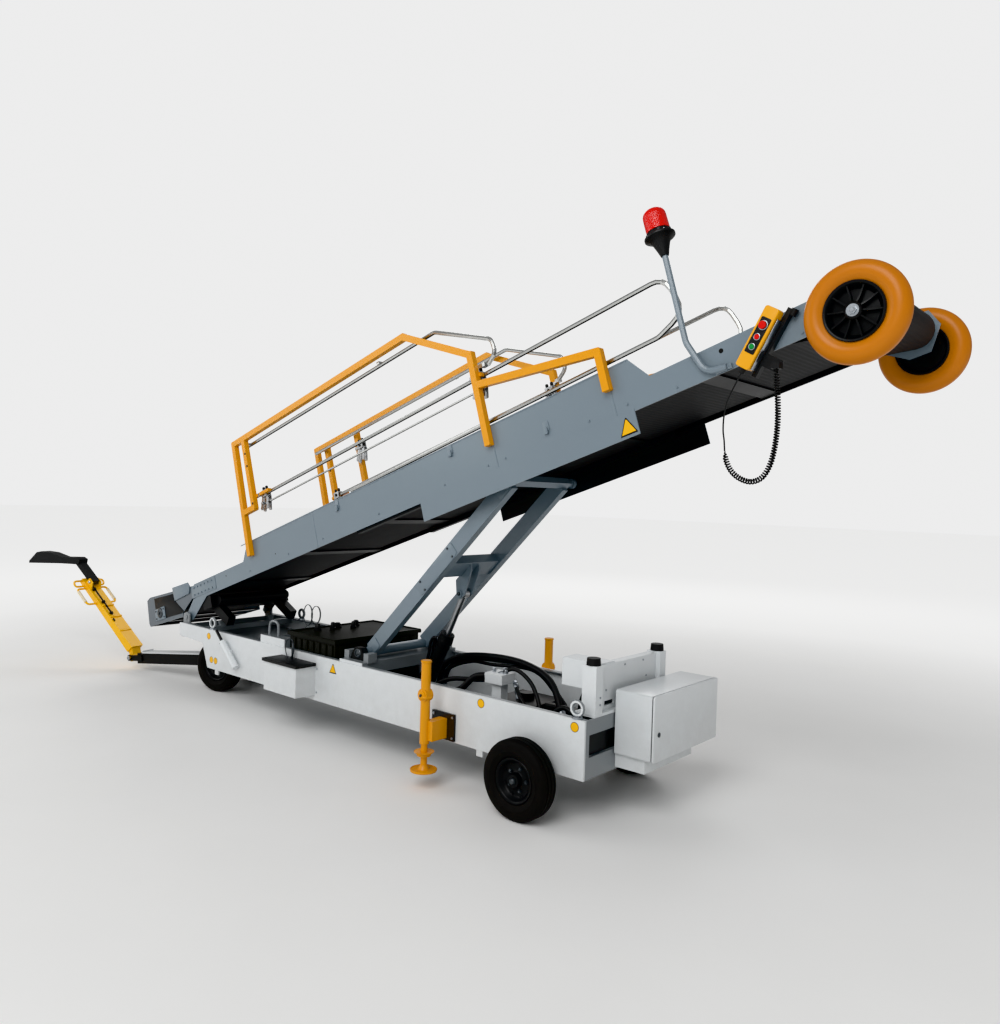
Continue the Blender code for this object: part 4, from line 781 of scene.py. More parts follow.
def rail_clamp(a, y, b, side):
    """Clamp block, hanging levers and knobs round a tube that runs along the boom."""
    at = BOOM @ Matrix.Translation((a, y, b))
    for half in (-1, 1):
        add_block(clamps, (-0.030, 0.030), (half * 0.0135, half * 0.021), (-0.026, 0.024), at)
        add_block(clamps, (-0.030, 0.030), (-0.0134, 0.0134), (half * 0.0135, half * 0.0245), at)
    add_block(clamps, (-0.045, -0.028), (side * 0.0138, side * 0.040), (-0.012, 0.012), at)
    for shift, lean in ((-0.022, 8), (0.026, -6)):
        plate_at = at @ Matrix.Translation((shift, 0, -0.024)) @ Matrix.Rotation(math.radians(lean + 18.3), 4, "Y")
        add_plate(clamps, rounded_outline((-0.016, 0.016), (-0.105, 0.004), 0.010), 0.010, 0.015, plate_at)
        add_plate(clamps, rounded_outline((-0.014, 0.014), (-0.095, 0.004), 0.010), -0.015, -0.010, plate_at)
    for shift in (-0.020, 0.018):
        add_turned(knobs, [(0, 0.034), (0.007, 0.034), (0.010, 0.030), (0.010, 0.012), (0.006, 0.006), (0, 0.006)],
                   at @ Matrix.Translation((shift, 0, 0.018)), 20)
    for half in (-1, 1):
        add_turned(knobs, [(0, 0.0212), (0.012, 0.0212), (0.012, 0.0245), (0, 0.0245)],
                   at @ Matrix.Rotation(math.radians(90 * half), 4, "X"), 20)


for side in (-1, 1):
    y = side * 0.326
    rail_clamp(1.262, y, 0.652, side)
    rail_clamp(3.452, y, 0.655, side)
    if side > 0:
        rail_clamp(1.640, y, 0.935, side)
        add_block(clamps, (1.55, 1.64), (y + 0.005, y + 0.040), (0.925, 0.945), BOOM)
    for b in (0.980, 0.885, 0.60):
        add_turned(plugs, [(0, 0.003), (0.006, 0.003), (0.009, 0.0015), (0.010, -0.001), (0, -0.001)],
                   turn_to(on_boom(1.178, side * 0.3935, b), (0, side, 0)), 20)
        add_turned(plugs, [(0, 0.003), (0.006, 0.003), (0.009, 0.0015), (0.010, -0.001), (0, -0.001)],
                   turn_to(on_boom(1.178, side * 0.3585, b), (0, -side, 0)), 20)
finish_piece("rail_clamps", clamps, "cast_alloy", "boom", soften=0.0012)
finish_piece("rail_knobs", knobs, "spark_textured_abs", "boom")
finish_piece("rail_plugs", plugs, "spark_textured_abs", "boom")
for side, name in ((-1, "right"), (1, "left")):
    bar = wire("thin_rail_" + name, [on_boom(1.225, side * 0.326, 0.585), on_boom(3.470, side * 0.326, 0.585)],
               0.0065, "brushed_stainless", 4)
    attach(bar, "boom")
    mounts = bmesh.new()
    for a in (1.235, 3.462):
        add_block(mounts, (a - 0.010, a + 0.010), (side * 0.322, side * 0.3582), (0.577, 0.593), BOOM)
    finish_piece("thin_rail_ends_" + name, mounts, "cast_alloy", "boom", soften=0.002)
print("rail fittings done")

# %% [markdown]
# ## Beacon
# A ribbed red lens on a black collar and a rubber boot. The lens is turned with fine flutes up its wall, which
# break the light into stripes, and it has a stepped crown.

# %% Beacon lens and collar
beacon = BOOM @ Matrix.Translation((4.719, -0.374, 0.7269 + 0.1253))      # the lens's foot, on top of the mast
lens = bmesh.new()
FLUTES = 48
levels = [(0.0558, 0.0), (0.0558, 0.005), (0.0550, 0.008), (0.0540, 0.074), (0.0525, 0.086), (0.0482, 0.0965),
          (0.0425, 0.1030), (0.0355, 0.1052), (0.014, 0.1062)]
rings = []
for radius, height in levels:
    ring = []
    for step in range(FLUTES * 4):
        flute = 0.0006 * math.cos(2 * math.pi * step / 4) if 0.007 < height < 0.088 else 0
        angle = 2 * math.pi * step / (FLUTES * 4)
        ring.append(lens.verts.new(beacon @ Vector(((radius + flute) * math.cos(angle),
                                                    (radius + flute) * math.sin(angle), height))))
    rings.append(ring)
for lower, upper in zip(rings, rings[1:]):
    for step in range(FLUTES * 4):
        after = (step + 1) % (FLUTES * 4)
        lens.faces.new((lower[step], lower[after], upper[after], upper[step]))
lens.faces.new(rings[0][::-1])
lens.faces.new(rings[-1])
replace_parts(finish_piece("beacon_fluted_lens", lens, "red_acrylic", "boom", corner=50), "beacon_lens")
boot = bmesh.new()
add_turned(boot, [(0, -0.1250), (0.0185, -0.1250), (0.0215, -0.117), (0.027, -0.098), (0.040, -0.062),
                  (0.049, -0.047), (0.069, -0.0355), (0.0722, -0.033), (0.0722, -0.025), (0.069, -0.022),
                  (0.060, -0.019), (0.058, -0.006), (0.0535, -0.0006), (0, -0.0006)], beacon, 72)
for tooth in range(12):
    at = beacon @ Matrix.Rotation(math.radians(30 * tooth), 4, "Z") @ Matrix.Translation((0.0575, 0, -0.012))
    add_block(boot, (-0.003, 0.003), (-0.007, 0.007), (-0.007, 0.007), at)
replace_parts(finish_piece("beacon_boot", boot, "spark_textured_abs", "boom", soften=0.0005), "beacon_base")
collar_screws = bmesh.new()
for angle in (80, 200, 320):
    at = beacon @ Matrix.Rotation(math.radians(angle), 4, "Z") @ Matrix.Translation((0.064, 0, -0.0205))
    add_bolt(collar_screws, at, 0.007)
finish_piece("beacon_screws", collar_screws, "zinc_plate", "boom")
print("beacon lens", FLUTES, "flutes")

# %% [markdown]
# ## Pendant control
# A yellow ABS handset with a black front panel, a mushroom stop button in red, a flat red button and a green
# one, each in a bezel. It sits in a black folded cradle whose bright steel edges show on both sides.

# %% Pendant
PENDANT_TILT = math.radians(18.3 + 43.0)
stand = Matrix.Translation(on_boom(5.045, -BOOM_SIDE, 0.160)) @ Matrix.Rotation(-PENDANT_TILT, 4, "Y")
shell = bmesh.new()
add_plate(shell, rounded_outline((-0.135, 0.135), (-0.033, 0.034), 0.012), -0.0875, -0.0352, stand)
handset = finish_piece("pendant_shell", shell, "yellow_abs", "boom", soften=0.0045, corner=60)
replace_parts(handset, "pendant")
panel = bmesh.new()
add_plate(panel, rounded_outline((-0.070, 0.088), (-0.023, 0.024), 0.006), -0.0893, -0.0870, stand)
add_turned(panel, [(0, -0.0235), (0.0125, -0.0235), (0.0135, -0.019), (0.0115, -0.012), (0.0135, -0.005),
                   (0.0125, 0.012), (0, 0.012)],
           stand @ Matrix.Translation((-0.1350, -0.061, 0)) @ Matrix.Rotation(math.radians(90), 4, "Y"), 28)
finish_piece("pendant_panel", panel, "spark_textured_abs", "boom", soften=0.0006)


def button(name, x, radius, profile, material):
    """A button that stands out of the panel, turned about the panel's normal."""
    mesh = bmesh.new()
    at = stand @ Matrix.Translation((x, -0.0892, 0.0005)) @ Matrix.Rotation(math.radians(90), 4, "X")
    add_turned(mesh, [(0, 0)] + [(radius * wide, height) for wide, height in profile], at, 36)
    finish_piece(name, mesh, material, "boom")
    bezel = bmesh.new()
    add_turned(bezel, [(radius * 1.02, 0), (radius * 1.28, 0), (radius * 1.25, 0.0022), (radius * 1.05, 0.0028)], at,
               36, True)
    finish_piece(name + "_bezel", bezel, "zinc_plate", "boom")


button("stop_button", 0.055, 0.0165, [(0.55, 0), (0.55, 0.006), (1.0, 0.007), (1.05, 0.011), (0.9, 0.0145), (0, 0.016)],
       "red_abs")
button("down_button", 0.003, 0.0115, [(1.0, 0), (1.0, 0.004), (0.85, 0.0055), (0, 0.006)], "red_abs")
button("up_button", -0.041, 0.0115, [(1.0, 0), (1.0, 0.004), (0.85, 0.0055), (0, 0.006)], "green_abs")
edges = bmesh.new()
for z in (-0.0400, 0.0345):
    add_block(edges, (-0.128, 0.098), (-0.0740, -0.0280), (z, z + 0.0045), stand)
finish_piece("pendant_cradle_edges", edges, "zinc_plate", "boom", soften=0.0008)
print("pendant leans", round(math.degrees(PENDANT_TILT), 1), "degrees")

# %% [markdown]
# ## Tail end
# The boom's tail is a curved guard round the driven roller. Its side carries black plates of painted shade for its dark
# inside, a round bearing on a plate and a pressed cover over the belt's edge.

# %% Tail fittings
bearing_plates = bmesh.new()
bearings = bmesh.new()
covers = bmesh.new()
dark = bmesh.new()
for side, outward in ((-1, OUT_RIGHT), (1, OUT_LEFT)):
    face = side * BOOM_SIDE
    spot = frame_at(on_boom(0, face, 0), BOOM_ALONG, BOOM_UP)
    away = side
    # Black plates on the tail's side panels are painted shade, standing for the dark inside of the tail guard.
    add_plate(dark, [(-0.545, 0.266), (-0.205, 0.236), (-0.190, 0.165), (-0.075, 0.060), (-0.120, 0.052),
                     (-0.545, 0.078)], 0.0003 * away, 0.0022 * away, spot)
    add_plate(bearing_plates, [(-0.555, 0.170), (-0.385, 0.170), (-0.385, 0.066), (-0.555, 0.074)],
              0.0022 * away, 0.0060 * away, spot)
    hub = turn_to(on_boom(-0.464, face + side * 0.0060, 0.126), outward)
    add_turned(bearings, [(0.0150, 0.012), (0.0240, 0.012), (0.0300, 0.009), (0.0400, 0.006), (0.0430, 0.0), (0.0150, 0.0)],
               hub, 40, True)
    add_turned(bearings, [(0, 0.018), (0.010, 0.018), (0.0125, 0.015), (0.0125, 0.004), (0, 0.004)], hub, 24)
    for corner_a, corner_b in ((-0.537, 0.152), (-0.403, 0.152), (-0.403, 0.084), (-0.537, 0.090)):
        add_bolt(bearings, turn_to(on_boom(corner_a, face + side * 0.006, corner_b), outward), 0.011)
    add_plate(covers, [(-0.190, 0.172), (-0.205, 0.285), (0.050, 0.272), (0.075, 0.235), (0.050, 0.180)],
              0.0003 * away, 0.0105 * away, spot)
finish_piece("tail_painted_shade_panels", dark, "black_enamel_and_shade", "boom", soften=0.0006)
finish_piece("tail_bearing_plates", bearing_plates, "blue_grey_enamel", "boom", soften=0.001)
finish_piece("tail_bearings", bearings, "dull_zinc", "boom")
finish_piece("tail_covers", covers, "blue_grey_enamel", "boom", soften=0.003)
print("tail fittings done")

# %% [markdown]
# ## Battery box
# A rotomoulded polyethylene tray with ribs along its walls and a flat lid with a raised rim. Terminal covers
# and a few cable stubs stand on its front corner.

# %% Battery box
box_low, box_high = (Vector(corner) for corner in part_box("battery_box"))
ribs = bmesh.new()
lid_top = box_high.z
rim = 0.016
for x in ((box_low.x + 0.001, box_low.x + rim), (box_high.x - rim, box_high.x - 0.001)):
    add_block(ribs, x, (box_low.y + 0.001, box_high.y - 0.001), (lid_top - 0.002, lid_top + 0.007), Matrix())
for y in ((box_low.y + 0.001, box_low.y + rim), (box_high.y - rim, box_high.y - 0.001)):
    add_block(ribs, (box_low.x + 0.002, box_high.x - 0.002), y, (lid_top - 0.002, lid_top + 0.007), Matrix())
for index in range(7):
    x = box_low.x + 0.060 + index * (box_high.x - box_low.x - 0.12) / 6
    for y, side in ((box_low.y + 0.015, -1), (box_high.y - 0.015, 1)):
        add_block(ribs, (x - 0.022, x + 0.022), (y, y + side * 0.008), (lid_top - 0.130, lid_top - 0.035), Matrix())
for index in range(8):
    y = box_low.y + 0.070 + index * (box_high.y - box_low.y - 0.14) / 7
    for x, side in ((box_low.x + 0.015, -1), (box_high.x - 0.015, 1)):
        add_block(ribs, (x, x + side * 0.008), (y - 0.024, y + 0.024), (lid_top - 0.130, lid_top - 0.035), Matrix())
finish_piece("battery_box_ribs", ribs, "olive_polyethylene", "chassis", soften=0.003)
fittings = bmesh.new()
for x, y, radius, height in ((-2.12, -0.20, 0.020, 0.045), (-2.08, -0.10, 0.016, 0.052), (-2.13, -0.02, 0.022, 0.036),
                             (-2.05, 0.06, 0.016, 0.048), (-2.12, 0.14, 0.020, 0.040)):
    add_turned(fittings, [(0, height), (radius * 0.7, height), (radius, height * 0.8), (radius, height * 0.35),
                          (radius * 1.3, height * 0.3), (radius * 1.3, 0), (0, 0)],
               Matrix.Translation((near(x, y, 0).x, near(x, y, 0).y, lid_top - 0.0005)), 24)
finish_piece("battery_box_fittings", fittings, "spark_textured_abs", "chassis")
print("battery box rim", round(lid_top, 3), "m high")

# %% [markdown]
# ## Hoses and cables
# Black hydraulic hoses run from the power pack over the middle of the well to the valve post and the lift
# cylinder, tied in a loose bundle. Two more climb the cylinder. Each is a tube through a few points on a
# smooth curve, with a crimped steel fitting on its end.

# %% Hoses in the well
def hose(name, points, radius, body, fittings=(), material="hose_rubber"):
    """A hose on a smooth curve, with crimped ends on the mesh that is given."""
    path = [AXLE + point for point in smooth(points, 8)]
    piece = wire(name, path, radius, material, 4)
    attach(piece, body)
    for mesh in fittings:
        for tip, inner in ((path[0], path[1]), (path[-1], path[-2])):
            at = turn_to(tip, inner - tip)
            add_turned(mesh, [(0, -0.012), (radius * 0.9, -0.012), (radius * 0.9, 0.000), (radius * 1.35, 0.001),
                              (radius * 1.35, 0.030), (radius * 1.1, 0.034), (0, 0.034)], at, 16)
            add_turned(mesh, [(0, -0.030), (radius * 1.3, -0.030), (radius * 1.3, -0.012), (0, -0.012)], at, 6)
    return piece


fitting_mesh = bmesh.new()
WELL_HOSES = (
    [(-1.26, 0.16, 0.34), (-1.22, 0.15, 0.49), (-1.04, 0.14, 0.588), (-0.74, 0.13, 0.630), (-0.48, 0.12, 0.622),
     (-0.27, 0.08, 0.560), (-0.12, 0.00, 0.400)],
    [(-1.25, 0.19, 0.34), (-1.20, 0.19, 0.48), (-1.02, 0.17, 0.570), (-0.77, 0.17, 0.600), (-0.52, 0.16, 0.606),
     (-0.32, 0.12, 0.545), (-0.06, 0.03, 0.390)],
    [(-1.27, 0.13, 0.33), (-1.17, 0.14, 0.48), (-1.00, 0.18, 0.555), (-0.76, 0.12, 0.580), (-0.50, 0.19, 0.578),
     (-0.30, 0.14, 0.500), (-0.16, 0.06, 0.400)],
    [(-0.48, -0.14, 0.600), (-0.40, -0.10, 0.640), (-0.28, -0.10, 0.585), (-0.19, -0.13, 0.480), (-0.14, -0.16, 0.340)],
    [(-0.55, -0.13, 0.585), (-0.66, -0.15, 0.560), (-0.74, -0.18, 0.480), (-0.86, -0.15, 0.430), (-1.00, -0.20, 0.300)],
    [(-0.55, -0.12, 0.560), (-0.66, -0.13, 0.540), (-0.84, -0.17, 0.520), (-1.00, -0.16, 0.440), (-1.12, -0.15, 0.320)],
    [(0.02, -0.02, 0.40), (0.03, -0.02, 0.56), (0.08, -0.02, 0.660), (0.15, -0.02, 0.640), (0.17, -0.02, 0.540),
     (0.16, -0.03, 0.40), (0.15, -0.05, 0.30)],
    [(0.05, -0.06, 0.38), (0.07, -0.06, 0.54), (0.12, -0.06, 0.630), (0.185, -0.06, 0.610), (0.20, -0.06, 0.510),
     (0.19, -0.07, 0.38), (0.17, -0.09, 0.29)],
    [(-0.02, 0.02, 0.37), (0.00, 0.02, 0.52), (0.05, 0.03, 0.600), (0.11, 0.03, 0.585), (0.13, 0.04, 0.480),
     (0.12, 0.05, 0.35), (0.10, 0.06, 0.28)],
    [(-0.10, -0.20, 0.36), (-0.04, -0.21, 0.46), (0.04, -0.21, 0.52), (0.12, -0.20, 0.47), (0.18, -0.19, 0.36)],
    [(-0.36, -0.13, 0.560), (-0.27, -0.20, 0.520), (-0.16, -0.22, 0.430), (-0.02, -0.24, 0.400), (0.12, -0.24, 0.300)],
    [(-0.36, -0.11, 0.500), (-0.30, -0.16, 0.440), (-0.24, -0.24, 0.400), (-0.12, -0.28, 0.360), (0.02, -0.27, 0.290)],
)
HOSE_RADII = (0.019, 0.014, 0.011, 0.012)
for index, route in enumerate(WELL_HOSES):
    hose("well_hose_%d" % (index + 1), route, HOSE_RADII[index % 4], "chassis", [fitting_mesh])
for index, (y, lift) in enumerate(((-0.30, 0.0), (-0.26, 0.015), (0.28, 0.0), (0.31, 0.02))):
    hose("floor_hose_%d" % (index + 1),
         [(-1.25, y, 0.285 + lift), (-0.95, y * 0.9, 0.290 + lift), (-0.75, y, 0.345 + lift), (-0.45, y * 0.95, 0.350),
          (-0.15, y, 0.300 + lift), (0.15, y * 0.9, 0.290 + lift)], 0.010, "chassis", [])
for index, (start_y, end_y) in enumerate(((-0.22, -0.10), (-0.12, -0.02), (-0.05, 0.10))):
    hose("tail_hose_%d" % (index + 1),
         [(-2.26, start_y, 0.33), (-2.38, start_y, 0.44), (-2.55, (start_y + end_y) / 2, 0.50),
          (-2.75, end_y, 0.47), (-2.90, end_y, 0.36)], 0.011, "chassis", [fitting_mesh])
valve_low, valve_high = (Vector(corner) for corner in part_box("valve_block"))
for x, y in ((-0.525, -0.13), (-0.435, -0.13), (-0.48, -0.09)):
    add_turned(fitting_mesh, [(0, 0.022), (0.008, 0.022), (0.010, 0.019), (0.010, 0.009), (0.013, 0.008), (0.013, 0),
                              (0, 0)], Matrix.Translation((near(x, y, 0).x, near(x, y, 0).y, valve_high.z)), 6)
finish_piece("hose_fittings", fitting_mesh, "zinc_plate", "chassis")
print("hoses in the well:", len(WELL_HOSES) + 7)

# %% [markdown]
# ## Chassis hardware
# Bolts on the buffer beam, the arm bearings' housings, the side box and the jack plates, eye bolts' collars,
# and the release wires with their coils.

# %% Bolts and small plates
chassis_bolts = bmesh.new()
for y, z in ((-0.300, 0.640), (-0.300, 0.605), (0.300, 0.640), (0.300, 0.605)):
    add_bolt(chassis_bolts, turn_to(near(0.326, y, z), (1, 0, 0)), 0.009)
for y, z in ((-0.039, 0.771), (0.141, 0.771), (-0.211, 0.661), (0.177, 0.682)):
    add_bolt(chassis_bolts, turn_to(near(0.300, y, z), (1, 0, 0)), 0.009)
for x in (-2.170, -1.812):
    for z in (0.305, 0.460):
        add_bolt(chassis_bolts, turn_to(near(x if x < -2 else x, -0.4275, z), OUT_RIGHT), 0.010)
for z in (0.275, 0.390):
    for x in (-0.700, -0.555):
        for side, outward in ((-1, OUT_RIGHT), (1, OUT_LEFT)):
            add_bolt(chassis_bolts, turn_to(near(x, side * 0.4412, z), outward), 0.013)
for x in (-3.157, 0.265):
    for side in (-1, 1):
        add_turned(chassis_bolts, [(0.0, 0.016), (0.016, 0.016), (0.025, 0.009), (0.027, 0.0), (0, 0)],
                   Matrix.Translation(near(x, side * 0.405, DECK)), 28)
finish_piece("chassis_bolts", chassis_bolts, "zinc_plate", "chassis")
bearing_rings = bmesh.new()
for side in (-1, 1):
    hub = turn_to(near(-1.480, side * 0.3635, 0.605), (0, side, 0))
    add_turned(bearing_rings, [(0.0172, 0.006), (0.024, 0.006), (0.028, 0.003), (0.030, 0), (0.0172, 0)], hub, 32, True)
    hub = turn_to(near(-1.480, side * 0.365, 0.605), (0, side, 0))
    add_turned(bearing_rings, [(0, 0.004), (0.010, 0.004), (0.0135, 0.001), (0.0135, 0.0), (0, 0)], hub, 32)
finish_piece("arm_bearing_rings", bearing_rings, "dull_zinc", "chassis")
# Black plates set in the buffer beam's head pockets, and one along its slot, are painted shade of these recesses.
pocket_dark = bmesh.new()
for y in (-0.245, 0.245):
    add_block(pocket_dark, (0.3035, 0.3065), (y - 0.136, y + 0.136), (0.360, 0.466))
finish_piece("head_pocket_shade", pocket_dark, "black_vinyl_and_shade", "chassis")
slot_bar = bmesh.new()
add_block(slot_bar, (0.2860, 0.2875), (-0.2225, -0.1335), (0.5825, 0.6065))
finish_piece("beam_slot_shadow", slot_bar, "black_vinyl_and_shade", "chassis")
print("chassis bolts done")

# %% Release wires
for index, (x, y, z, radius, tilt) in enumerate(((-2.095, -0.452, 0.560, 0.052, 20), (-2.060, -0.455, 0.548, 0.046, -30),
                                                 (-2.30, -0.16, 0.735, 0.060, 15), (-2.26, -0.12, 0.735, 0.052, 75))):
    coil_points = []
    for step in range(0, 46):
        angle = 2 * math.pi * step / 18 - math.pi / 2
        coil_points.append(near(x + radius * 0.65 * math.cos(angle) * math.cos(math.radians(tilt)) + 0.0003 * step,
                                y + radius * 0.65 * math.cos(angle) * math.sin(math.radians(tilt)),
                                z + radius * 1.25 * math.sin(angle)))
    ring = wire("release_wire_%d" % (index + 1), coil_points, 0.0018, "dull_zinc", 2)
    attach(ring, "box_lid" if index < 2 else "chassis")
lead_wire = wire("release_wire_lead", [near(*point) for point in smooth(
    [(-2.30, -0.16, 0.662), (-2.28, -0.19, 0.640), (-2.235, -0.24, 0.640), (-2.21, -0.30, 0.655)], 6)], 0.0018,
    "dull_zinc", 2)
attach(lead_wire, "chassis")
print("release wires done")

# %% [markdown]
# ## Jacks
# Each jack has a clamp knob through its sleeve, a collar ring and a swivel foot with a turned-up edge.

# %% Jacks
for side, name in ((-1, "right"), (1, "left")):
    jack = near(-0.655, side * 0.555, 0)
    trim = bmesh.new()
    add_turned(trim, [(0.0275, 0.0), (0.0300, 0.002), (0.0300, 0.010), (0.0275, 0.012)],
               Matrix.Translation(jack + Vector((0, 0, 0.700))), 40, True)
    add_turned(trim, [(0.0278, 0.0), (0.0400, 0.003), (0.0425, 0.010), (0.0400, 0.018), (0.0278, 0.022)],
               Matrix.Translation(jack + Vector((0, 0, 0.500))), 40, True)
    add_turned(trim, [(0, 0.010), (0.014, 0.010), (0.024, 0.006), (0.026, 0.0), (0, 0)],
               turn_to(jack + Vector((0, side * 0.0262, 0.520)), (0, side, 0)), 32)
    finish_piece("jack_trim_" + name, trim, "amber_enamel", "chassis")
    pins = bmesh.new()
    add_bolt(pins, turn_to(jack + Vector((0, side * 0.0362, 0.520)), (0, side, 0)), 0.016)
    finish_piece("jack_pin_" + name, pins, "dull_zinc", "chassis")
    foot = bmesh.new()
    add_turned(foot, [(0.0740, 0.0984), (0.0755, 0.1040), (0.0745, 0.1100), (0.0700, 0.1105), (0.0690, 0.1083)],
               Matrix.Translation(jack), 48, True)
    add_turned(foot, [(0.0190, 0.196), (0.0400, 0.198), (0.0560, 0.203), (0.0565, 0.207), (0.0400, 0.204),
                      (0.0190, 0.203)], Matrix.Translation(jack), 48, True)
    finish_piece("jack_foot_rim_" + name, foot, "amber_enamel", "jack_" + name)
print("jacks: 2")

# %% [markdown]
# ## Tow bar
# The lifting handles wear cream plastic grips. Cross ribs, hose clips and a latch rod lie on the channel, and
# bright collars close the pins.

# %% Tow bar trim
elbow_at = Vector(joints["drawbar_elbow"]["pos_m"])
elbow_axis = Vector(joints["drawbar_elbow"]["axis"]).normalized()
steer_forward = Vector((0, 0, 1)).cross(elbow_axis)
steer_forward *= 1 if steer_forward.x > 0 else -1
bar_tilt = math.radians(41.0)
bar_x = steer_forward * math.cos(bar_tilt) - Vector((0, 0, 1)) * math.sin(bar_tilt)
bar_z = steer_forward * math.sin(bar_tilt) + Vector((0, 0, 1)) * math.cos(bar_tilt)
bar_frame = frame_at(elbow_at, bar_x, bar_z)
grips = bmesh.new()
for near_end, far_end, rise in ((-0.630, -0.820, 0.0), (-0.850, -0.900, 0.020)):
    for side in (-1, 1):
        start = bar_frame @ Vector((near_end - 0.028, side * 0.150, 0.040))
        end = bar_frame @ Vector((far_end + 0.028, side * 0.150, 0.040 + rise))
        if (end - start).length > 0.03:
            length = (end - start).length
            add_turned(grips, [(0.0092, 0), (0.0130, 0.001), (0.0140, 0.006), (0.0132, length / 2), (0.0140, length - 0.006),
                               (0.0130, length - 0.001), (0.0092, length)], turn_to(start, end - start), 28, True)
finish_piece("handle_grips", grips, "cream_grip", "drawbar")
latch = bmesh.new()
add_turned(latch, [(0, 0), (0.007, 0), (0.007, 0.36), (0, 0.36)], turn_to(bar_frame @ Vector((-0.44, -0.030, 0.0930)), -bar_x), 20)
for x in (-0.46, -0.60, -0.76):
    add_block(latch, (x - 0.010, x + 0.010), (-0.042, -0.018), (0.066, 0.102), bar_frame)
add_block(latch, (-0.395, -0.365), (-0.050, -0.044), (0.072, 0.096), bar_frame)
finish_piece("latch_rod", latch, "black_enamel_and_shade", "drawbar", soften=0.0012)
ridges = bmesh.new()
for x in (-0.250, -0.420, -0.560):
    add_block(ridges, (x - 0.006, x + 0.006), (-0.0585, 0.0585), (0.070, 0.0905), bar_frame)
finish_piece("bar_ridges", ridges, "lemon_enamel", "drawbar", soften=0.0015)
collars = bmesh.new()
for side in (-1, 1):
    hub = turn_to(bar_frame @ Vector((0, side * 0.0755, 0)), bar_frame.to_3x3() @ Vector((0, side, 0)))
    add_turned(collars, [(0, 0.006), (0.012, 0.006), (0.017, 0.003), (0.018, 0), (0, 0)], hub, 28)
    hub = turn_to(bar_frame @ Vector((-0.833, side * 0.0535, 0.112)), bar_frame.to_3x3() @ Vector((0, side, 0)))
    add_turned(collars, [(0, 0.008), (0.010, 0.008), (0.014, 0.005), (0.014, 0), (0, 0)], hub, 6)
finish_piece("bar_pin_collars", collars, "zinc_plate", "drawbar")
print("tow bar rises", round(math.degrees(bar_tilt)), "degrees")

# %% [markdown]
# ## Lift
# The arms are welded boxes with a reinforcing plate and bolts at the rod's ear. The cylinder has a gland nut
# at its mouth, a hose port, and two hoses strapped along it.

# %% Lift trim
arm_pin = Vector(joints["arms_lift"]["pos_m"])
ARM_TILT = math.radians(44.3)
arms = Matrix.Translation(arm_pin) @ Matrix.Rotation(-ARM_TILT, 4, "Y")
arm_plates = bmesh.new()
for side in (-1, 1):
    face = side * 0.260
    spot = arms @ Matrix.Translation((0, 0, 0))
    add_plate(arm_plates, [(0.62, -0.030), (0.66, -0.040), (0.98, -0.040), (1.02, -0.030), (1.02, 0.042), (0.98, 0.050),
                           (0.66, 0.050), (0.62, 0.042)], face + side * 0.0002, face + side * 0.004, spot)
    for x in (0.05, 1.52):
        add_plate(arm_plates, rounded_outline((x - 0.05, x + 0.05), (-0.036, 0.048), 0.02), face + side * 0.0002,
                  face + side * 0.005, spot)
finish_piece("arm_plates", arm_plates, "blue_grey_enamel", "lift_arms", soften=0.0012)
arm_bolts = bmesh.new()
for side in (-1, 1):
    for x, z in ((0.665, 0.036), (0.665, -0.026), (0.975, 0.036), (0.975, -0.026)):
        add_bolt(arm_bolts, turn_to(arms @ Vector((x, side * 0.264, z)), (0, side, 0)), 0.012)
    add_bolt(arm_bolts, turn_to(arms @ Vector((0.701, side * 0.051, -0.105)), (0, side, 0)), 0.020)
finish_piece("arm_bolts", arm_bolts, "dull_zinc", "lift_arms")

base_at = Vector(joints["cylinder_swing"]["pos_m"])
rod_axis = Vector(joints["cylinder_stroke"]["axis"]).normalized()
rod_axis *= 1 if rod_axis.z > 0 else -1
cylinder = frame_at(base_at, rod_axis, Vector((0, 0, 1)))
gland = bmesh.new()
along_rod = turn_to(base_at, rod_axis)
add_turned(gland, [(0.0212, 0.487), (0.040, 0.487), (0.046, 0.482), (0.0480, 0.474), (0.0480, 0.462), (0.0500, 0.460),
                   (0.0500, 0.440), (0.0425, 0.436)], along_rod, 48, True)
for distance in (0.085, 0.250, 0.400):
    add_turned(gland, [(0.0423, distance), (0.0455, distance + 0.002), (0.0455, distance + 0.014),
                       (0.0423, distance + 0.016)], along_rod, 48, True)
finish_piece("cylinder_gland", gland, "black_enamel_and_shade", "lift_cylinder")
ports = bmesh.new()
for distance in (0.110, 0.425):
    at = turn_to(cylinder @ Vector((distance, 0, 0.040)), cylinder.to_3x3() @ Vector((0, 0, 1)))
    add_turned(ports, [(0, 0.026), (0.009, 0.026), (0.012, 0.022), (0.012, 0.012), (0.016, 0.010), (0.016, 0), (0, 0)],
               at, 24)
finish_piece("cylinder_ports", ports, "zinc_plate", "lift_cylinder")
for index, shift in enumerate((-0.016, 0.016)):
    path = [cylinder @ point for point in smooth(
        [(0.425 - 0.02 * index, shift * 0.3, 0.064), (0.415, shift, 0.085), (0.370, shift, 0.090), (0.300, shift, 0.070),
         (0.220, shift, 0.062), (0.120, shift, 0.066), (0.060, shift, 0.075)], 6)]
    strapped = wire("cylinder_hose_%d" % (index + 1), path, 0.010, "hose_rubber", 4)
    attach(strapped, "lift_cylinder")
print("arms at %.1f degrees" % math.degrees(ARM_TILT))
# %% [markdown]
# ## Studio
# A plain pale floor, a bright even sky of soft light, and one large soft key from the near side, so that the
# side plates read lighter than the boom's underside. Away from the machine the floor is lit up to the tone of
# the sky, so that the two meet softly.

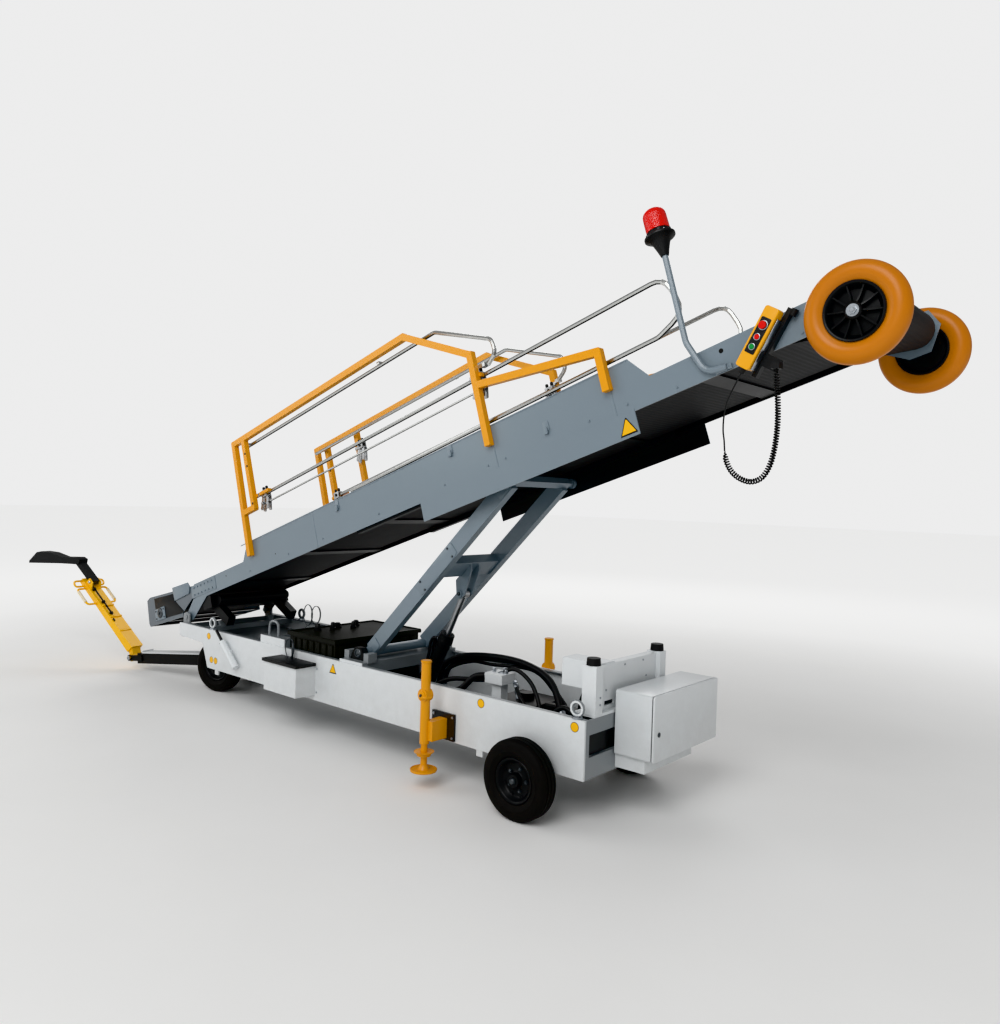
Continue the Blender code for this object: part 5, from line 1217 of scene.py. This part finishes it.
# %% Floor and lights
floor_material, tree, shader = new_material("pale_floor")
place = add(tree, "ShaderNodeTexCoord").outputs["Object"]
mottle = add(tree, "ShaderNodeTexNoise", {"Scale": 1.5, "Detail": 3.0}, {"Vector": place})
tone = add(tree, "ShaderNodeMix", {"data_type": "RGBA", 6: linear("#f4f4f3"), 7: linear("#f0f0ef")},
           {0: mottle.outputs["Fac"]})
tree.links.new(tone.outputs[2], shader.inputs["Base Color"])
shader.inputs["Roughness"].default_value = 0.9
away = add(tree, "ShaderNodeVectorMath", {"operation": "LENGTH"}, {0: place})
glow = add(tree, "ShaderNodeMapRange", {"interpolation_type": "SMOOTHERSTEP", "From Min": 2.0, "From Max": 12.0,
                                        "To Min": 0.0, "To Max": 0.50}, {"Value": away.outputs["Value"]})
tree.links.new(glow.outputs[0], shader.inputs["Emission Strength"])
shader.inputs["Emission Color"].default_value = linear("#ffffff")
floor_mesh = bpy.data.meshes.new("floor")
plane = bmesh.new()
bmesh.ops.create_grid(plane, x_segments=1, y_segments=1, size=60.0)
plane.to_mesh(floor_mesh)
plane.free()
floor = bpy.data.objects.new("floor", floor_mesh)
bpy.context.scene.collection.objects.link(floor)
dress(floor, floor_material)


def soft_light(name, at, target, size, power):
    """A square area light at one point, aimed at another."""
    lamp = bpy.data.lights.new(name, "AREA")
    lamp.shape = "SQUARE"
    lamp.size = size
    lamp.energy = power
    obj = bpy.data.objects.new(name, lamp)
    obj.location = at
    obj.rotation_euler = (Vector(target) - Vector(at)).to_track_quat("-Z", "Y").to_euler()
    bpy.context.scene.collection.objects.link(obj)


soft_light("key", (4.0, -8.0, 7.5), (0, 0, 1.0), 6.0, 520)
soft_light("fill", (-7.0, -6.0, 5.0), (-1, 0, 1.0), 6.0, 200)
soft_light("rim", (-3.0, 8.0, 7.0), (0, 0, 1.2), 6.0, 230)
sky = bpy.data.worlds.new("soft_sky")
sky.use_nodes = True
tree = sky.node_tree
backdrop = add(tree, "ShaderNodeBackground", {"Color": linear("#ffffff"), "Strength": 0.95})
seen = add(tree, "ShaderNodeLightPath").outputs["Is Camera Ray"]
tree.nodes["Background"].inputs["Color"].default_value = linear("#ffffff")
tree.nodes["Background"].inputs["Strength"].default_value = 0.42
either = add(tree, "ShaderNodeMixShader", None, {0: seen, 1: tree.nodes["Background"].outputs[0],
                                                 2: backdrop.outputs[0]})
tree.links.new(either.outputs[0], tree.nodes["World Output"].inputs["Surface"])
bpy.context.scene.world = sky
bpy.context.scene.view_settings.view_transform = "Khronos PBR Neutral"
bpy.context.scene.view_settings.look = "None"
print("studio lit")
